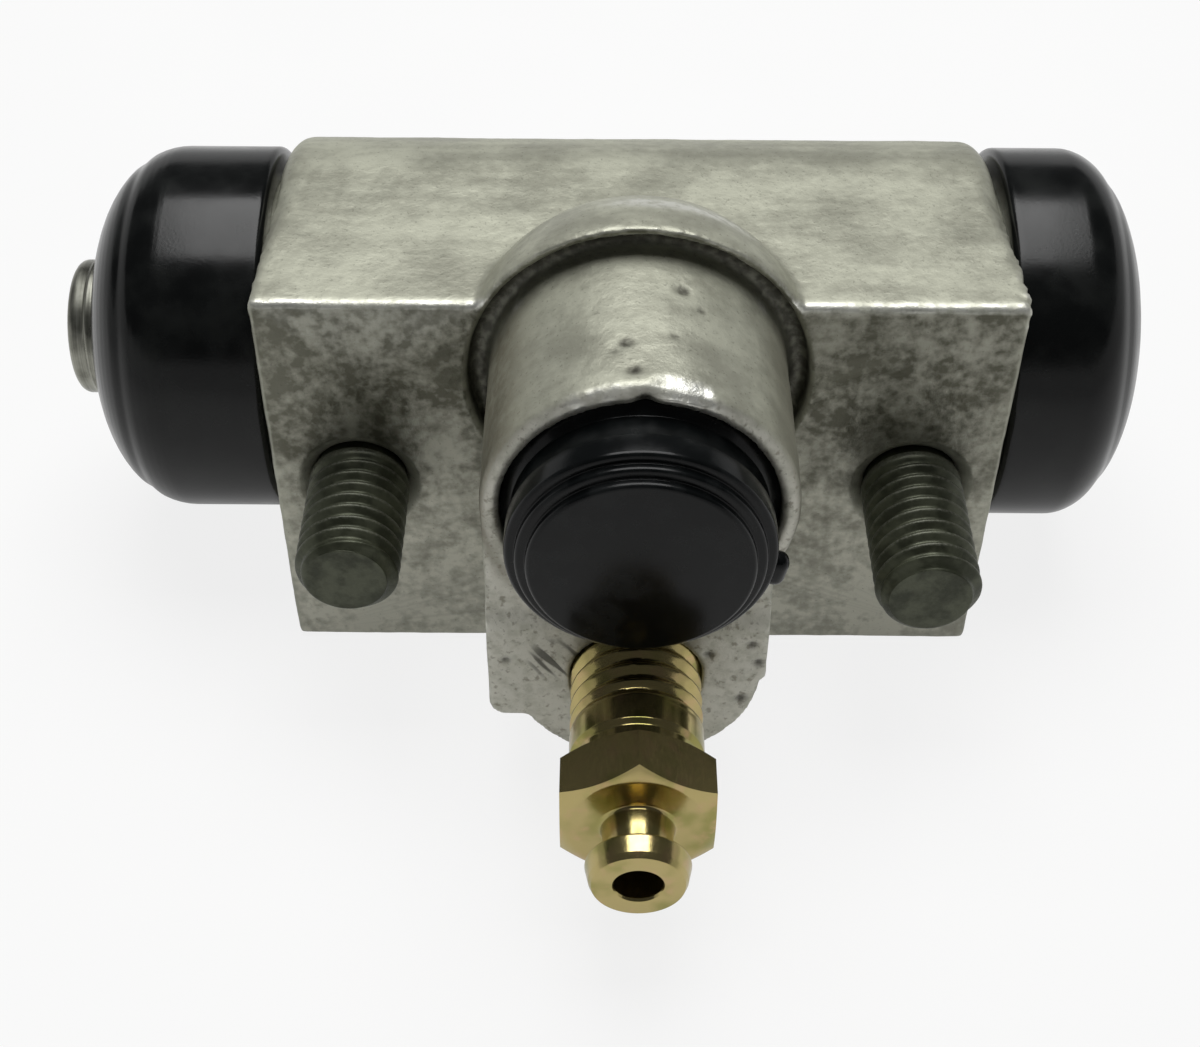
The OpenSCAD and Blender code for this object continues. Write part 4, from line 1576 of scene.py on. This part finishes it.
@dataclass
class ThrustPieces:
    """Pistons, push rods, cup seals and cup expanders, which slide in the bore."""

    shop: Workshop
    rod_r: float = 6.0
    rod_len: float = 19.5
    head_len: float = 2.5
    neck_r: float = 5.0
    neck_w: float = 2.0
    left_tip: float = 18.6
    right_tip: float = 12.4
    collar: float = 0.9

    def build(self) -> None:
        """Builds the push rods and dresses what slides with them."""
        for side, tip in ((Side.LEFT, self.left_tip), (Side.RIGHT, self.right_tip)):
            self.build_rod(side, tip)
            dress_node(f"{side.word}_piston", self.shop.piston)
            dress_node(f"{side.word}_cup_seal", self.shop.seal)
            dress_node(f"{side.word}_cup_expander", self.shop.steel)

    def build_rod(self, side: Side, tip: float) -> None:
        """Turns one push rod.

        Args:
            side: Which rod.
            tip: Where it ends, outwards from the end of the body, in mm.
        """
        neck = tip - self.head_len
        low = tip - self.rod_len
        profile = rounded([
            (0.0, low, 0.0), (self.rod_r, low, 0.5), (self.rod_r, neck - self.neck_w, 0.3),
            (self.neck_r, neck - self.neck_w, 0.2), (self.neck_r, neck, 0.2), (self.rod_r, neck, 0.3),
            (self.rod_r, neck + self.collar, 0.3), (self.rod_r - 0.3, neck + self.collar + 0.15, 0.15),
            (self.rod_r - 0.3, tip, 0.9), (1.6, tip, 0.3), (1.2, tip - 0.35, 0.2), (0.0, tip - 0.5, 0.0),
        ])
        axis = end_axis(side)
        piece = revolve(f"{side.word}_push_rod_turned", axis, profile, 96)
        take_finish(piece, self.shop.steel)
        stand_for(piece, side.thrust, "bare_steel", f"{side.word}_push_rod")


@dataclass
class ReturnSpring:
    """Coil spring between the cup expanders, in two halves."""

    shop: Workshop
    winder: SpringWinder
    wire_r: float = 0.6
    outer_r: float = 5.4
    active_turns: float = 6.0
    end_pitch: float = 1.3
    left_end: float = -15.5
    right_end: float = 9.3
    clear: float = 0.1

    def build(self) -> None:
        """Winds both halves."""
        start = self.left_end + self.wire_r + self.clear
        end = self.right_end - self.wire_r - self.clear
        pitch = (end - start - 2 * self.end_pitch) / self.active_turns
        turns = self.active_turns + 2.0
        halves = ((Side.LEFT, 0.0, turns / 2, start), (Side.RIGHT, turns / 2, turns, end))
        for side, first, last, outer in halves:
            piece = linked(f"return_spring_{side.word}_half", bpy.data.meshes.new("wire"))
            self.winder.apply(
                piece, self.shop.spring, From_Turn=first, To_Turn=last, Active_Turns=self.active_turns,
                End_Pitch=self.end_pitch * MM, Pitch=pitch * MM, Start_X=start * MM,
                Mean_Radius=(self.outer_r - self.wire_r) * MM, Wire_Radius=self.wire_r * MM,
                Axis_Y=BORE_DEPTH * MM, Axis_Z=BORE_LIFT * MM,
            )
            stretch_with(piece, "return_spring")


@dataclass
class Studio:
    """Camera, lamps, world and floor around the part."""

    camera_at: Point = (-2.8, -105.5, 97.7)
    look_down: float = 44.0
    roll: float = 0.4
    lens: float = 54.0
    sensor: float = 36.0
    wall_reach: float = 1200.0
    wall_rise: float = 360.0
    floor_gap: float = 0.05
    room_light: float = 0.07
    white: float = 0.84
    mirrored_white: float = 0.5
    rim_r: float = 150.0
    lamp_at: Point = (0.0, 88.0, 340.0)
    lamp_size: float = 280.0
    lamp_watts: float = 1.35
    lamp_aim: Point = (0.0, 5.0, 0.0)
    room_colour: Colour = (0.96, 0.98, 1.0)
    floor_dark: Colour = (0.80, 0.80, 0.79)
    floor_pale: Colour = (0.84, 0.84, 0.83)
    clip: Pair = (0.005, 20.0)

    def place_camera(self) -> None:
        """Places the camera where the photograph was taken from."""
        data = bpy.data.cameras.new("camera")
        data.lens = self.lens
        data.sensor_width = self.sensor
        data.clip_start, data.clip_end = self.clip
        camera = linked("camera", data)
        tilt = Euler((math.radians(90.0 - self.look_down), 0.0, 0.0)).to_matrix().to_4x4()
        lean = Matrix.Rotation(math.radians(self.roll), 4, "Z")
        camera.matrix_world = Matrix.Translation(Vector(self.camera_at) * MM) @ tilt @ lean
        bpy.context.scene.camera = camera

    def lamp(self, name: str) -> None:
        """Hangs a soft lamp that faces the part.

        Args:
            name: Name of the lamp.
        """
        data = bpy.data.lights.new(name, "AREA")
        data.shape = "SQUARE"
        data.size = self.lamp_size * MM
        data.energy = self.lamp_watts
        lamp = linked(name, data)
        lamp.location = Vector(self.lamp_at) * MM
        aim = Vector(self.lamp_aim) - Vector(self.lamp_at)
        lamp.rotation_euler = aim.to_track_quat("-Z", "Y").to_euler()

    def lay_floor(self, height: float) -> None:
        """Lays a pale floor, curved up at its rim, that is white to the camera and keeps a soft shadow.

        Args:
            height: Height of the floor, in mm.
        """
        axis = TurningAxis((0.0, 0.0, height), (0.0, 0.0, 1.0), (1.0, 0.0, 0.0))
        rim = [(0.0, 0.0, 0.0), (self.wall_reach, 0.0, self.rim_r), (self.wall_reach, self.wall_rise, 0.0)]
        floor = revolve("floor", axis, rounded(rim, 12), 96)
        s = Shader("pale_floor")
        grain = s.noise(40.0, 2.0)
        colour = s.mix(s.ramp(grain, 0.3, 0.7), self.floor_dark, self.floor_pale)
        matt = s.add("ShaderNodeBsdfDiffuse", {"Color": colour})
        glow = s.add("ShaderNodeEmission", {"Color": (1, 1, 1, 1), "Strength": 1.0})
        path = s.add("ShaderNodeLightPath")
        mirrored = s.math("MAXIMUM", path.outputs["Is Glossy Ray"], path.outputs["Is Transmission Ray"])
        share = s.math("MULTIPLY", path.outputs["Is Camera Ray"], self.white)
        share = s.math("MAXIMUM", share, s.math("MULTIPLY", mirrored, self.mirrored_white))
        mixed = s.add("ShaderNodeMixShader", {0: share, 1: matt.outputs[0], 2: glow.outputs[0]})
        s.add("ShaderNodeOutputMaterial", {"Surface": mixed.outputs[0]})
        take_finish(floor, s.material)

    def light_world(self) -> None:
        """Fills the room with a faint even light."""
        world = bpy.data.worlds.new("dim_room")
        world.use_nodes = True
        fill = world.node_tree.nodes["Background"]
        fill.inputs["Color"].default_value = (*self.room_colour, 1.0)
        fill.inputs["Strength"].default_value = self.room_light
        bpy.context.scene.world = world

    def build(self) -> None:
        """Sets up the whole studio."""
        scene = bpy.context.scene
        scene.view_settings.view_transform = "Standard"
        self.place_camera()
        self.lay_floor(CAD_BOX[0].z / MM - self.floor_gap)
        self.light_world()
        self.lamp("top_softbox")


def main() -> None:
    """Builds the studio and every piece of the wheel cylinder."""
    logging.basicConfig(level=logging.INFO, format="%(message)s")
    Studio().build()
    shop = Workshop()
    cutter = ThreadCutter()
    Casting(shop).build()
    MountingStuds(shop, cutter).build()
    BleederScrew(shop, cutter).build()
    PortPlug(shop).build()
    ThrustPieces(shop).build()
    ReturnSpring(shop, SpringWinder()).build()
    DustBoots(shop).build()


if __name__ == "__main__":
    main()
